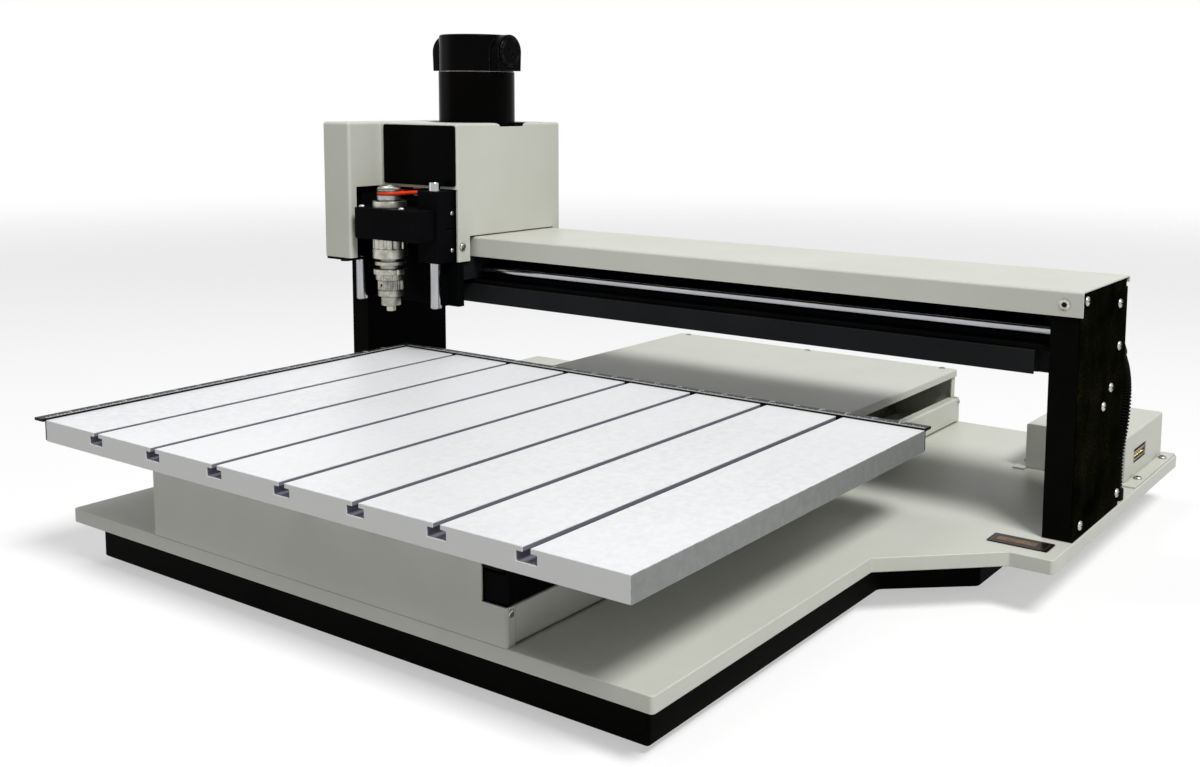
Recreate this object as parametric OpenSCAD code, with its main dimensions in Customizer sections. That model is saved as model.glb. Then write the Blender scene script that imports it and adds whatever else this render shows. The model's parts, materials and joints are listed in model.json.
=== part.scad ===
// Bench engraving machine with a T-slotted bed, a fixed bridge and a travelling head.
// X runs along the bridge, Y runs to the rear, Z is up. The origin is on the floor,
// below the middle of the base plate. The bed stands at its front stop, the head at its
// left stop and the spindle at the top of its lift.

/* [Base] */
// Diameter of a rubber foot
foot_d = 34; // [20:1:50]
// Height of a rubber foot
foot_h = 6; // [4:0.5:8]
// Height of the pan under the base plate
pan_h = 32; // [28:1:60]
// Wall of the pan
pan_wall = 2.5; // [1.5:0.5:5]
// Distance from the front of the base plate to the pan
pan_inset = 17; // [10:1:40]
// Distance from the side of the narrow front of the base plate to the pan
pan_side_inset = 15.5; // [5:0.5:30]
// Distance from the side of the wide rear of the base plate to the pan
pan_rear_inset = 68.7; // [40:0.1:90]
// How far behind the flare of the base plate the flare of the pan starts
pan_flare_back = 46; // [20:1:60]
// Length of the flare of the pan
pan_flare_len = 55; // [30:1:80]
// Thickness of the base plate
plate_t = 12; // [8:0.5:16]
// Depth of the base plate
plate_d = 740; // [730:5:800]
// Width of the wide rear of the base plate
plate_w = 846; // [846:1:900]
// Width of the narrow front of the base plate
front_w = 611; // [560:1:640]
// Start of the flare, measured from the middle of the base plate
flare_start = -80; // [-110:1:-78]
// Radius of the corners of the base plate
plate_r = 3; // [1:0.5:20]
// Width gained on each side along the flare
flare_w = 82; // [40:1:100]
// Length of the flare
flare_len = 76; // [40:1:84]

/* [Bed housing] */
// Width of the housing under the bed
housing_w = 380; // [360:2:400]
// Height of the housing sides above the base plate
side_h = 27; // [24:1:34]
// Height of the housing cover above the base plate
cover_h = 58; // [56:0.5:59]
// Thickness of the sheet metal
sheet_t = 1.5; // [1:0.1:2]
// Height of the folded lips of the housing cover
cover_lip = 8; // [6:0.5:9]
// Width of the open corner at the right of the housing front
corner_w = 22; // [16:1:24]
// Length of the folded returns of the housing ends
return_len = 8; // [8:1:20]
// Depth of the black seal in the open corner
seal_len = 18; // [10:1:30]

/* [Bed] */
// Width of the bed
bed_w = 609.6; // [540:0.2:620]
// Depth of the bed
bed_d = 406.4; // [360:0.2:420]
// Thickness of the bed
bed_t = 18; // [16:0.5:25]
// Height of the underside of the bed above the base plate
bed_rise = 63; // [60:0.5:64]
// How far the bed stands out in front of the base plate at its front stop
bed_overhang = 21; // [0:1:40]
// Travel of the bed to the rear
bed_travel = 406.4; // [300:0.2:406.4]
// Number of T-slots
slot_count = 7; // [3:1:7]
// Spacing of the T-slots
slot_pitch = 76.2; // [50:0.1:80]
// How far the middle T-slot lies to the left of the middle of the bed
slot_shift = 3.5; // [0:0.1:10]
// Width of the mouth of a T-slot
slot_mouth = 6.6; // [5:0.1:10]
// Depth of the mouth of a T-slot
slot_mouth_h = 3.5; // [2:0.1:5]
// Width of the wide part of a T-slot
slot_wide = 17; // [12:0.1:24]
// Whole depth of a T-slot
slot_depth = 10; // [6:0.1:12]
// Thickness of the upright leg of the scale strips
strip_t = 1.2; // [1:0.1:4]
// Height of the upright leg of the scale strips
strip_leg = 17; // [10:0.5:18.5]
// Width of the lip of the scale strips
strip_lip = 10; // [6:0.5:16]
// Thickness of the lip of the scale strips
strip_lip_t = 2.5; // [1.5:0.1:4]
// How far the scale strips stand above the bed
strip_rise = 1.5; // [0:0.1:2]

/* [Bed carriage] */
// Thickness of the carriage plate
carriage_t = 12; // [8:0.5:14]
// Length of the carriage
carriage_len = 322; // [260:1:322]
// Distance between the two bed rails
rail_gauge = 220; // [190:1:260]
// Width of a bed rail
rail_w = 15; // [10:0.5:20]
// Height of a bed rail
rail_h = 15; // [10:0.5:18]
// Length of a bearing block of the bed
bed_block_len = 56; // [40:1:70]
// Width of a bearing block of the bed
bed_block_w = 34; // [28:1:40]
// Diameter of the bed lead screw
bed_screw_d = 16; // [10:0.5:18]
// Height of the bed lead screw above the base plate
bed_screw_h = 18; // [16:0.5:20]
// Lead of the bed and bridge screws
screw_lead = 12.7; // [5:0.1:25.4]

/* [Columns and bridge] */
// Thickness of a column with its outer plate
column_t = 25.4; // [24:0.1:26]
// Depth of a column
column_d = 124.2; // [118:0.2:126]
// Front face of the columns, measured from the middle of the base plate
column_y = 44.3; // [44:0.1:48]
// Height of a column above the base plate
column_h = 203; // [203:1:230]
// Wall of a column
column_wall = 8; // [5:0.5:9]
// Thickness of the outer plate of a column
skin_t = 2; // [1:0.1:3]
// Height of the front lip of the bridge cover
bridge_lip = 21; // [17:0.1:21]
// Height of the rear lip of the bridge cover
bridge_rear_lip = 6; // [4:0.5:12]
// Wall of the bridge beam
beam_wall = 4; // [3:0.5:5]
// Diameter of the round bridge rails
rail_d = 9.5; // [8:0.5:12]
// Distance between the two round bridge rails
rail_rise = 23.5; // [23.5:0.1:25]
// Diameter of the bridge lead screw
bridge_screw_d = 12; // [8:0.5:14]
// Height of the dark channel under the bridge
channel_h = 19.5; // [12:0.5:21]
// Depth of the dark channel under the bridge
channel_d = 12; // [8:0.5:14]

/* [Head] */
// Width of the head cover
head_w = 154.5; // [154.5:0.1:156]
// Distance from the head cover to the column at each end of its travel
head_margin = 14.4; // [10:0.1:60]
// Top of the head cover above the base plate
head_top = 324.5; // [324:0.5:334]
// Width of the wing at the left of the head cover
wing_w = 41; // [39:0.5:41]
// How far the wing stands out in front of the name panel
wing_out = 45.2; // [45:0.1:48]
// Radius of the motor hole in the head cover
motor_hole_r = 54; // [50:0.5:55]
// Thickness of the head carriage plate
head_plate_t = 8.5; // [6:0.5:8.5]

/* [Lift and spindle] */
// Travel of the spindle down from its top position
lift_travel = 35; // [10:0.5:35]
// Diameter of the guide rods of the lift
rod_d = 12; // [10:0.5:12.7]
// Distance between the two guide rods of the lift
rod_gauge = 113.5; // [113:0.1:114]
// Length of the guide rods of the lift
rod_len = 134; // [128:0.5:136]
// Height of the bearing blocks of the lift
lift_block_h = 75.5; // [70:0.5:76]
// Width of the bearing blocks of the lift
lift_block_w = 29.2; // [24:0.1:29.2]
// Height of the spindle clamp
clamp_h = 32.8; // [30:0.1:34.5]
// Diameter of the spindle quill
quill_d = 25.4; // [20:0.1:25.4]
// Diameter of the fluted collar under the clamp
collar_d = 35.6; // [34:0.1:37]
// Diameter of the bore for the cutter
cutter_d = 6.35; // [3.18:0.01:6.35]
// Diameter of the micrometer barrel
barrel_d = 27; // [26:0.1:28]
// Diameter of the nose
nose_d = 20.6; // [18:0.1:21]
// Diameter of the nose tip
tip_d = 9.8; // [9:0.1:14]
// Diameter of the round drive belt
belt_d = 4.2; // [3:0.1:4.6]

/* [Motor] */
// Diameter of the spindle motor
motor_d = 83.2; // [70:0.1:84]
// Length of the spindle motor below its cap
motor_len = 113.5; // [90:0.5:130]
// Height of the motor cap
cap_h = 39; // [36:0.5:44]
// Width of the ears of the motor cap
ear_w = 37; // [28:0.5:37]
// Diameter of a brush cap
brush_d = 33; // [20:0.5:33]

/* [Connector box and loom] */
// Width of the connector box
conn_w = 94.7; // [80:0.1:95]
// Depth of the connector box
conn_d = 127; // [110:1:128]
// Height of the connector box
conn_h = 44; // [36:0.5:50]
// Diameter of the corrugated loom
loom_d = 15; // [12:0.5:16]
// Number of ribs on the loom
loom_ribs = 44; // [10:1:60]

/* [Hidden] */
$fn = 64;
black = "#1b1c1e";
pale = "#cfd1c8";
steel = "#c9cbcd";
alloy = "#dfe1e2";

run = 0.05;           // running clearance of shafts, measured on the radius
seat = 0.2;           // gap between pieces that are seated on each other
play = 0.5;           // gap between sliding pieces that don't guide

// Heights
pan_z = foot_h;
plate_z = pan_z + pan_h;
deck = plate_z + plate_t;
side_z = deck + side_h;
cover_z = deck + cover_h;
bed_z = deck + bed_rise;
bed_top = bed_z + bed_t;
carriage_z = cover_z - cover_lip - 2 - carriage_t;
plate_x = plate_w / 2;
plate_y = plate_d / 2;
house_x = housing_w / 2;
cover_x = house_x - 4.5;
open_x = house_x - corner_w;
pan_floor_t = 2;

// Bed and its drive
bed_y = -plate_y - bed_overhang;
bed_x = bed_w / 2;
carriage_y = -plate_y + sheet_t + play;
blocks_y = [carriage_y + 38, carriage_y + carriage_len - 38];
screw_z = deck + bed_screw_h;
pulley_y = plate_y - 40;
pulley_t = 12;
bed_motor_w = 56;
bed_motor_len = 60;
bed_motor_x = 60;
bed_motor_z = pan_z + 32;
bed_pulley_r = 12;
timing_belt_t = 1.6;
belt_run = [bed_motor_x, screw_z - bed_motor_z];
belt_dist = norm(belt_run);
belt_tilt = atan2(belt_run[1], -belt_run[0]);
web_t = 3;

// Columns and bridge
column_x = plate_x - 1 - column_t;
body_t = column_t - skin_t - seat;
column_top = deck + column_h;
cover_top = column_top + sheet_t;
beam_x = column_x - seat;
beam_back = column_y + 115.7;
beam_top = column_top - 0.3;
ledge_z = beam_top - beam_wall - 41.2;
bridge_y = [column_y - seat * 2 - sheet_t, column_y + column_d + seat + sheet_t];
bridge_rail_y = column_y + 15.7;
rail_low_z = ledge_z + 10;
rail_high_z = rail_low_z + rail_rise;
rib_w = 5;
drive_y = column_y + 55.7;
drive_z = (rail_low_z + rail_high_z) / 2 - 0.75;
small_motor = 38;
skin_screws = [[column_y + 8.7, column_h - 7], [column_y + 99.7, column_h - 20],
    [column_y + 102.7, column_h - 57], [column_y + 83.7, column_h - 90],
    [column_y + 64.7, column_h - 103], [column_y + 116.2, 13], [column_y + 15, 11]];

// Head
half = head_w / 2;
head_travel = 2 * (beam_x - half - head_margin);
head_x = -head_travel / 2;
front_y = column_y - 27.1;
wing_y = front_y - wing_out;
back_y = column_y + 139.2;
head_z = deck + head_top;
tab_z = cover_top - 25.3;
notch_z = cover_top + 1.2;
notch_front = 6.7;
notch_rear = 0.8;
notch_y = [bridge_y[0] - notch_front, bridge_y[1] + notch_rear];
panel_rise = 51;
panel_z = cover_top + panel_rise;
head_plate_y = front_y + 2.3;
head_plate_z = cover_top - 73;
plate_half = half - sheet_t - 0.25;
rod_x = rod_gauge / 2;
rod_y = front_y - 12.2;
rod_z = cover_top - 74.5;
spindle_y = front_y - 22.6;
motor_x = 26.5;
motor_y = front_y + 84.6;
lift_x = -rod_x;
lift_y = front_y + 42.8;
block_z = cover_top - 25.5;
block_y = [rod_y - 11, rod_y + 13.5];
clamp_z = cover_top - 2.3;
clamp_top = clamp_z + clamp_h;
clamp_y = rod_y - 34;
frame_z = cover_top + 53.5;
frame_t = 8;
motor_z = frame_z + frame_t;
cap_z = motor_z + motor_len;
belt_z = cover_top + 45.7;
spindle_groove = 10.3;
motor_groove = 16.8;
shelf_z = frame_z + 10;
head_block_x = 52;
head_block_len = 44;

// Loom, marched in the plane x = loom_x from the gland on the column down to the base
// plate. Its heading is the angle from straight down, and it runs straight at both ends.
loom_x = plate_x - 10;
loom_r = loom_d / 2;
loom_start = [column_y + column_d + 7.5, deck + 134];
loom_lean = 45;
loom_sway = -29;
loom_spans = [loom_d, 39, 33, 33, loom_d];
function sum_to(v, n) = n <= 0 ? 0 : v[n - 1] + sum_to(v, n - 1);
loom_len = sum_to(loom_spans, 5);
loom_rings = 2 * loom_ribs;
loom_step = loom_len / loom_rings;
function heading(s) = lookup(s, [[0, loom_lean], [sum_to(loom_spans, 1), loom_lean],
    [sum_to(loom_spans, 2), 0], [sum_to(loom_spans, 3), loom_sway],
    [sum_to(loom_spans, 4), 0], [loom_len, 0]]);
function along(s) = [sin(heading(s)), -cos(heading(s))];
loom_path = [for (i = 0, p = loom_start; i <= loom_rings;
    p = p + loom_step * along((i + 0.5) * loom_step), i = i + 1) p];
loom_end = loom_path[loom_rings];

// A box from its low and high corners
module block(x, y, z) {
    translate([x[0], y[0], z[0]])
        cube([x[1] - x[0], y[1] - y[0], z[1] - z[0]]);
}

// Rods along each axis
module bar_x(x, y, z, r) {
    translate([x[0], y, z]) rotate([0, 90, 0]) cylinder(h = x[1] - x[0], r = r);
}
module bar_y(x, y, z, r) {
    translate([x, y[0], z]) rotate([-90, 0, 0]) cylinder(h = y[1] - y[0], r = r);
}
module bar_z(x, y, z, r) {
    translate([x, y, z[0]]) cylinder(h = z[1] - z[0], r = r);
}

// The same thing on both sides of the middle
module both() {
    children();
    mirror([1, 0, 0]) children();
}

// A domed screw head with its shank, standing on the plane z = 0
module pan_screw(head_r, head_h, shank_r, shank) {
    rotate_extrude($fn = 32)
        polygon([[0, -shank], [shank_r, -shank], [shank_r, 0], [head_r, 0],
            [head_r, head_h * 0.45], [head_r * 0.8, head_h * 0.85],
            [head_r * 0.4, head_h], [0, head_h]]);
}

// A polygon with each corner rounded to the radius r by an arc of steps + 1 points
function arc_points(a, p, b, r, steps = 6) = let (u = (a - p) / norm(a - p),
    v = (b - p) / norm(b - p), half = acos(u * v) / 2,
    c = p + (u + v) / norm(u + v) * r / sin(half), s = p + u * r / tan(half) - c,
    e = p + v * r / tan(half) - c, from = atan2(s[1], s[0]),
    turn = (atan2(e[1], e[0]) - from + 540) % 360 - 180)
    [for (k = [0 : steps]) let (w = from + turn * k / steps) c + r * [cos(w), sin(w)]];
function soften(p, r) = let (n = len(p))
    [for (i = [0 : n - 1]) each arc_points(p[(i + n - 1) % n], p[i], p[(i + 1) % n], r)];

// Right half of the outline of the base plate, and of the pan inset by the distance d
plate_half_outline = [
    [front_w / 2, -plate_y],
    [front_w / 2, flare_start],
    [front_w / 2 + flare_w, flare_start + flare_len],
    [plate_x, flare_start + flare_len],
    [plate_x, plate_y]];
pan_x = [front_w / 2 - pan_side_inset, plate_x - pan_rear_inset];
pan_run = [pan_x[1] - pan_x[0], pan_flare_len];
pan_lean = (1 - pan_run[1] / norm(pan_run)) / (pan_run[0] / norm(pan_run));
function pan_half(d) = let (y = flare_start + pan_flare_back + d * pan_lean) [
    [pan_x[0] - d, -plate_y + pan_inset + d],
    [pan_x[0] - d, y],
    [pan_x[1] - d, y + pan_flare_len],
    [pan_x[1] - d, plate_y - pan_inset - d]];
function mirrored(p) = [for (i = [len(p) - 1 : -1 : 0]) [-p[i][0], p[i][1]]];
function whole(p) = concat(p, mirrored(p));

foot_spots = [[0, 0], for (s = [-1, 1]) each
    [[s * (front_w / 2 - 47), 60 - plate_y], [s * (plate_x - 113), plate_y - 60]]];

module rubber_feet() {
    color("#222222")
        for (p = foot_spots)
            translate(p) cylinder(h = foot_h, d = foot_d);
}

// A folded tray: its floor, and one wall along each edge with open seams at the folds
module base_pan() {
    outer = whole(pan_half(0));
    inner = whole(pan_half(pan_wall));
    n = len(outer);
    color(black) {
        translate([0, 0, pan_z]) linear_extrude(pan_floor_t)
            polygon(whole(pan_half(pan_wall + seat)));
        for (i = [0 : n - 1]) {
            k = (i + 1) % n;
            u = (outer[k] - outer[i]) / norm(outer[k] - outer[i]) * seat;
            translate([0, 0, pan_z]) linear_extrude(pan_h)
                polygon([outer[i] + u, outer[k] - u, inner[k] - u, inner[i] + u]);
        }
    }
}

front_screws = [for (x = [-150, 0, 150]) [x, -plate_y + 10]];
conn_x = [plate_x - 13.8 - conn_w, plate_x - 13.8];
conn_y = [plate_y - 9 - conn_d, plate_y - 9];
conn_screws = [for (x = [conn_x[0] - 5, conn_x[1] + 6], y = [conn_y[0] + 22, conn_y[1] - 17])
    [x, y]];

module base_plate() {
    color(pale) difference() {
        translate([0, 0, plate_z]) linear_extrude(plate_t) 
            polygon(soften(whole(plate_half_outline), plate_r));
        block([-8, bed_motor_x + 31], [pulley_y - bed_motor_len - 4, pulley_y + pulley_t + 3],
            [plate_z - 1, deck + 1]);
        for (p = front_screws) bar_z(p[0], p[1], [plate_z - 1, plate_z + 8], 2.7);
        for (p = conn_screws) bar_z(p[0], p[1], [deck - 8, deck + 1], 1.8);
    }
}

// One end of the housing, drawn for the front
module housing_end(top, x) {
    block(x, [-plate_y, -plate_y + sheet_t], [deck, top]);
    block([-house_x, house_x], [-plate_y, -plate_y + sheet_t], [deck, side_z]);
    both() block([house_x - sheet_t, house_x], [-plate_y, -plate_y + return_len],
        [deck, side_z]);
    block([-house_x, house_x], [-plate_y, -plate_y + return_len], [deck, deck + sheet_t]);
}

end_screw_y = plate_y - return_len / 2;
end_screw_z = side_z - 4.5;

module end_screw_holes() {
    for (s = [-1, 1])
        bar_x([-house_x - 1, house_x + 1], s * end_screw_y, end_screw_z, 1.8);
}

module housing_front() {
    color(pale) difference() {
        housing_end(cover_z, [-house_x, open_x]);
        end_screw_holes();
        for (p = front_screws) bar_z(p[0], p[1], [deck - 1, deck + sheet_t + 1], 2.7);
    }
}

module housing_rear() {
    color(pale) difference() {
        mirror([0, 1, 0]) {
            housing_end(cover_z - sheet_t - seat, [2 - cover_x, cover_x - 2]);
            both() block([cover_x - 3.5, cover_x - 2], [-plate_y, -plate_y + 8],
                [deck, cover_z - sheet_t - seat]);
        }
        end_screw_holes();
        for (x = cover_screw_x) bar_z(x, plate_y - 5, [cover_z - 10, cover_z], 1.8);
    }
}

module housing_sides() {
    y = [-plate_y + return_len + seat, plate_y - return_len - seat];
    color(pale) both() {
        block([house_x - sheet_t, house_x], y, [deck + play, side_z]);
        block([house_x - 10, house_x], y, [deck + play, deck + play + sheet_t]);
        block([house_x - 10, house_x], y, [side_z - sheet_t, side_z]);
    }
}

cover_screw_x = [-170, 0, 170];

module housing_cover() {
    y0 = -plate_y + sheet_t + seat;
    color(pale) difference() {
        union() {
            block([-cover_x, cover_x], [y0, plate_y], [cover_z - sheet_t, cover_z]);
            both() block([cover_x - sheet_t, cover_x], [y0, plate_y],
                [cover_z - cover_lip, cover_z]);
            both() block([cover_x - 40, cover_x - 38], [y0 + seal_len, plate_y - 12],
                [cover_z - cover_lip, cover_z]);
            block([-open_x + 10, open_x - 10], [plate_y - 10, plate_y - sheet_t - seat],
                [cover_z - 5, cover_z]);
        }
        block([open_x, cover_x + 1], [y0 - 1, y0 + seal_len],
            [cover_z - cover_lip - 1, cover_z + 1]);
        for (x = cover_screw_x) bar_z(x, plate_y - 5, [cover_z - 10, cover_z + 1], 1.8);
    }
}

module corner_seal() {
    color(black)
        block([open_x + seat, cover_x], [-plate_y + seat, -plate_y + sheet_t + seal_len],
            [cover_z - cover_lip, cover_z]);
}

module bed_rails() {
    color(steel) both()
        block([rail_gauge / 2 - rail_w / 2, rail_gauge / 2 + rail_w / 2],
            [-plate_y + return_len + play, plate_y - return_len - play],
            [deck, deck + rail_h]);
}

bearing_top = carriage_z - 2;

module screw_bearings() {
    color("#8d9093") {
        for (y = [[-plate_y + 18, -plate_y + 30], [pulley_y - 18, pulley_y - 4]])
            difference() {
                block([-22, 22], y, [deck, bearing_top]);
                bar_y(0, [y[0] - 1, y[1] + 1], screw_z, bed_screw_d / 2 - 2 + run);
            }
        for (x = [[-beam_x + 52, -beam_x + 58], [beam_x - 16, beam_x - 4]])
            difference() {
                block(x, [drive_y - 22, beam_back - 2 * beam_wall],
                    [ledge_z, beam_top - beam_wall]);
                bar_x([x[0] - 1, x[1] + 1], drive_y, drive_z,
                    bridge_screw_d / 2 - 2 + run);
            }
    }
}

module bed_motor() {
    y = [pulley_y - bed_motor_len - 2, pulley_y - 2];
    color(black) difference() {
        block([bed_motor_x - bed_motor_w / 2, bed_motor_x + bed_motor_w / 2], y,
            [bed_motor_z - bed_motor_w / 2, bed_motor_z + bed_motor_w / 2]);
        bar_y(bed_motor_x, [y[1] - 20, y[1] + 1], bed_motor_z, 3 + run);
    }
}

// Outline of a belt round two equal pulleys
module belt_outline(r) {
    circle(r);
    translate([belt_dist, 0]) circle(r);
    translate([0, -r]) square([belt_dist, 2 * r]);
}

module bed_timing_belt() {
    color(black)
        translate([bed_motor_x, pulley_y + 1.5, bed_motor_z]) rotate([90, 0, 0])
            mirror([0, 0, 1]) rotate([0, 0, belt_tilt]) linear_extrude(pulley_t - 3)
                difference() {
                    belt_outline(bed_pulley_r + 0.3 + timing_belt_t);
                    belt_outline(bed_pulley_r + 0.3);
                }
}

module bed_motor_pulley() {
    color(steel) {
        bar_y(bed_motor_x, [pulley_y, pulley_y + pulley_t], bed_motor_z, bed_pulley_r);
        bar_y(bed_motor_x, [pulley_y - 20, pulley_y], bed_motor_z, 3);
    }
}

module bed_lead_screw() {
    color(steel) {
        bar_y(0, [-plate_y + 30.2, pulley_y - 18.2], screw_z, bed_screw_d / 2);
        bar_y(0, [-plate_y + 19, pulley_y], screw_z, bed_screw_d / 2 - 2);
        bar_y(0, [pulley_y, pulley_y + pulley_t], screw_z, bed_pulley_r);
    }
}

module bed_carriage() {
    y = [carriage_y, carriage_y + carriage_len];
    z = [carriage_z, carriage_z + carriage_t];
    color(black) {
        block([-open_x - 1, open_x + 1], [y[0], y[0] + 76], z);
        block([-open_x - 1, open_x + 1], [y[1] - 76, y[1]], z);
        block([-40, 40], y, z);
        both() block([open_x, house_x], y, z);
        both() block([house_x - web_t, house_x], y, [side_z + 1, bed_z]);
        block([open_x + 1, house_x], [y[0], y[0] + seal_len], [side_z + 1, carriage_z + 1]);
    }
}

module bed_bearing_blocks() {
    color("#8d9093") both()
        for (y = blocks_y)
            difference() {
                block([rail_gauge / 2 - bed_block_w / 2, rail_gauge / 2 + bed_block_w / 2],
                    [y - bed_block_len / 2, y + bed_block_len / 2],
                    [deck + 4, carriage_z]);
                block([rail_gauge / 2 - rail_w / 2 - 0.3, rail_gauge / 2 + rail_w / 2 + 0.3],
                    [y - bed_block_len, y + bed_block_len],
                    [deck, deck + rail_h + 0.3]);
            }
}

module bed_nut() {
    y = carriage_y + carriage_len / 2;
    color("#b49a58") difference() {
        block([-20, 20], [y - 20, y + 20], [screw_z - 14, carriage_z]);
        bar_y(0, [y - 21, y + 21], screw_z, bed_screw_d / 2 + run);
    }
}

module bed_plate() {
    color(alloy) difference() {
        block([-bed_x, bed_x], [bed_y, bed_y + bed_d], [bed_z, bed_top]);
        for (i = [0 : slot_count - 1]) {
            x = (i - (slot_count - 1) / 2) * slot_pitch - slot_shift;
            block([x - slot_mouth / 2, x + slot_mouth / 2], [bed_y - 1, bed_y + bed_d + 1],
                [bed_top - slot_mouth_h - 1, bed_top + 1]);
            block([x - slot_wide / 2, x + slot_wide / 2], [bed_y - 1, bed_y + bed_d + 1],
                [bed_top - slot_depth, bed_top - slot_mouth_h]);
        }
        for (p = strip_spots_left)
            bar_x([-bed_x - 1, -bed_x + 8], p, strip_screw_z, 2.1);
        for (p = strip_spots_back)
            bar_y(p, [bed_y + bed_d - 8, bed_y + bed_d + 1], strip_screw_z, 2.1);
    }
}

strip_screw_z = bed_top - 8;
strip_top = bed_top + strip_rise;
strip_spots_left = [for (k = [0 : 2]) bed_y + 6 + k * (bed_d - 40) / 2];
strip_spots_back = [for (k = [-1 : 1]) k * (bed_x - 30) - 10];

module scale_strips() {
    back = bed_y + bed_d;
    z = [bed_top - strip_leg, strip_top];
    lip_z = [strip_top - strip_lip_t, strip_top];
    out = strip_t + strip_lip;
    y0 = bed_y - 2.7;
    r = strip_lip_t / 2;
    color(black) difference() {
        union() {
            block([-bed_x - strip_t, -bed_x], [bed_y, back + strip_t], z);
            block([-bed_x - out, -bed_x], [y0, back + out], lip_z);
            bar_y(-bed_x - out, [y0, back + out], strip_top - r, r);
            block([-bed_x + play, bed_x], [back, back + strip_t], z);
            block([-bed_x + play, bed_x], [back, back + out], lip_z);
            bar_x([-bed_x + play, bed_x], back + out, strip_top - r, r);
        }
        for (p = strip_spots_left)
            bar_x([-bed_x - strip_t - 1, -bed_x + 1], p, strip_screw_z, 2.1);
        for (p = strip_spots_back)
            bar_y(p, [back - 1, back + strip_t + 1], strip_screw_z, 2.1);
    }
}

module strip_screws() {
    color(black) {
        for (p = strip_spots_left)
            translate([-bed_x - strip_t, p, strip_screw_z]) rotate([0, -90, 0])
                pan_screw(4.7, 4.2, 1.9, strip_t + 6);
        for (p = strip_spots_back)
            translate([p, bed_y + bed_d + strip_t, strip_screw_z]) rotate([-90, 0, 0])
                pan_screw(4.7, 4.2, 1.9, strip_t + 6);
    }
}

// Column on the right; the left one mirrors it
module column_body() {
    x = [column_x, column_x + body_t];
    y = [column_y, column_y + column_d];
    difference() {
        union() {
            difference() {
                block(x, y, [deck, column_top]);
                block([x[0] + column_wall, x[1] + 1],
                    [y[0] + column_wall, y[1] - column_wall],
                    [deck + column_wall, column_top - column_wall]);
            }
            for (p = skin_screws) bar_x(x, p[0], deck + p[1], 6);
        }
        for (p = skin_screws) bar_x([x[1] - 10, x[1] + 1], p[0], deck + p[1], 2.5);
        block([x[0] - 1, x[1] + 1], [y[1] - 4, y[1] + 9], [column_top - 8, column_top + 1]);
        block([x[0] - 1, x[1] + 1], [y[1], y[1] + 9], [deck - 1, column_top + 1]);
        bar_x([x[0] - 1, x[0] + 3], drive_y, drive_z, bridge_screw_d / 2);
        for (x2 = lip_screw_x)
            bar_y(x2, [y[0] - 1, y[0] + 7], lip_screw_z, 2.1);
    }
}

module column_skin() {
    x = [column_x + body_t + seat, column_x + column_t];
    y = [column_y, column_y + column_d];
    difference() {
        block(x, y, [deck, column_top]);
        block([x[0] - 1, x[1] + 1], [y[1] - 4, y[1] + 1], [column_top - 8, column_top + 1]);
        for (p = skin_screws) bar_x([x[0] - 1, x[1] + 1], p[0], deck + p[1], 2.7);
    }
}

module column_right() {
    color(black) difference() {
        column_body();
        bar_y(loom_x, [column_y + column_d - 6, column_y + column_d + 1],
            loom_gland_z, 5.2);
    }
}

module column_left() {
    color(black) mirror([1, 0, 0]) column_body();
}

module column_skin_right() {
    color(black) column_skin();
}

module column_skin_left() {
    color(black) mirror([1, 0, 0]) column_skin();
}

module bridge_beam() {
    x = [-beam_x, beam_x];
    color(black) {
        block(x, [column_y + 2.7, beam_back], [ledge_z - beam_wall, ledge_z]);
        block(x, [beam_back - 2 * beam_wall, beam_back], [ledge_z - beam_wall, beam_top]);
        block(x, [column_y + 7.7, beam_back], [beam_top - beam_wall, beam_top]);
    }
}

module bridge_rails() {
    x = [-beam_x, beam_x];
    y = [bridge_rail_y - rib_w / 2, bridge_rail_y + rib_w / 2];
    color(steel) {
        bar_x(x, bridge_rail_y, rail_low_z, rail_d / 2);
        block(x, y, [ledge_z, rail_low_z]);
        bar_x(x, bridge_rail_y, rail_high_z, rail_d / 2);
        block(x, y, [rail_high_z, beam_top - beam_wall]);
    }
}

module bridge_channel() {
    z1 = ledge_z - beam_wall - seat;
    z = [z1 - channel_h, z1];
    x1 = beam_x - 12;
    y = [column_y, column_y + channel_d];
    color("#2b2d30") {
        difference() {
            block([-x1, x1], y, z);
            block([-x1 - 1, x1 + 1], [y[0] + 1.5, y[1] - 1.5], [z[0] - 1, z[1] - 1.5]);
        }
        both() block([x1 - 4, beam_x], [y[1], y[1] + 6], z);
    }
}

lip_screw_x = [plate_x - 15];
lip_screw_z = cover_top - 11.4;

module bridge_cover() {
    y = bridge_y;
    color(pale) difference() {
        union() {
            block([-plate_x, plate_x], y, [column_top, cover_top]);
            block([-plate_x, plate_x], [y[0], y[0] + sheet_t],
                [cover_top - bridge_lip, cover_top]);
            block([-plate_x, plate_x], [y[1] - sheet_t, y[1]],
                [cover_top - bridge_rear_lip, cover_top]);
        }
        both() for (x = lip_screw_x)
            bar_y(x, [y[0] - 1, y[0] + sheet_t + 1], lip_screw_z, 2.3);
    }
}

module bridge_motor() {
    x = [-beam_x + 2, -beam_x + 52 - seat];
    color(black) difference() {
        block(x, [drive_y - small_motor / 2, drive_y + small_motor / 2],
            [drive_z - small_motor / 2, drive_z + small_motor / 2]);
        bar_x([x[1] - 16, x[1] + 1], drive_y, drive_z, 2.5 + run);
    }
}

module bridge_lead_screw() {
    r = bridge_screw_d / 2;
    color(steel) {
        bar_x([-beam_x + 58.2, beam_x - 16.2], drive_y, drive_z, r);
        bar_x([-beam_x + 52, beam_x - 5], drive_y, drive_z, r - 2);
        bar_x([-beam_x + 38, -beam_x + 53], drive_y, drive_z, 2.5);
    }
}

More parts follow.
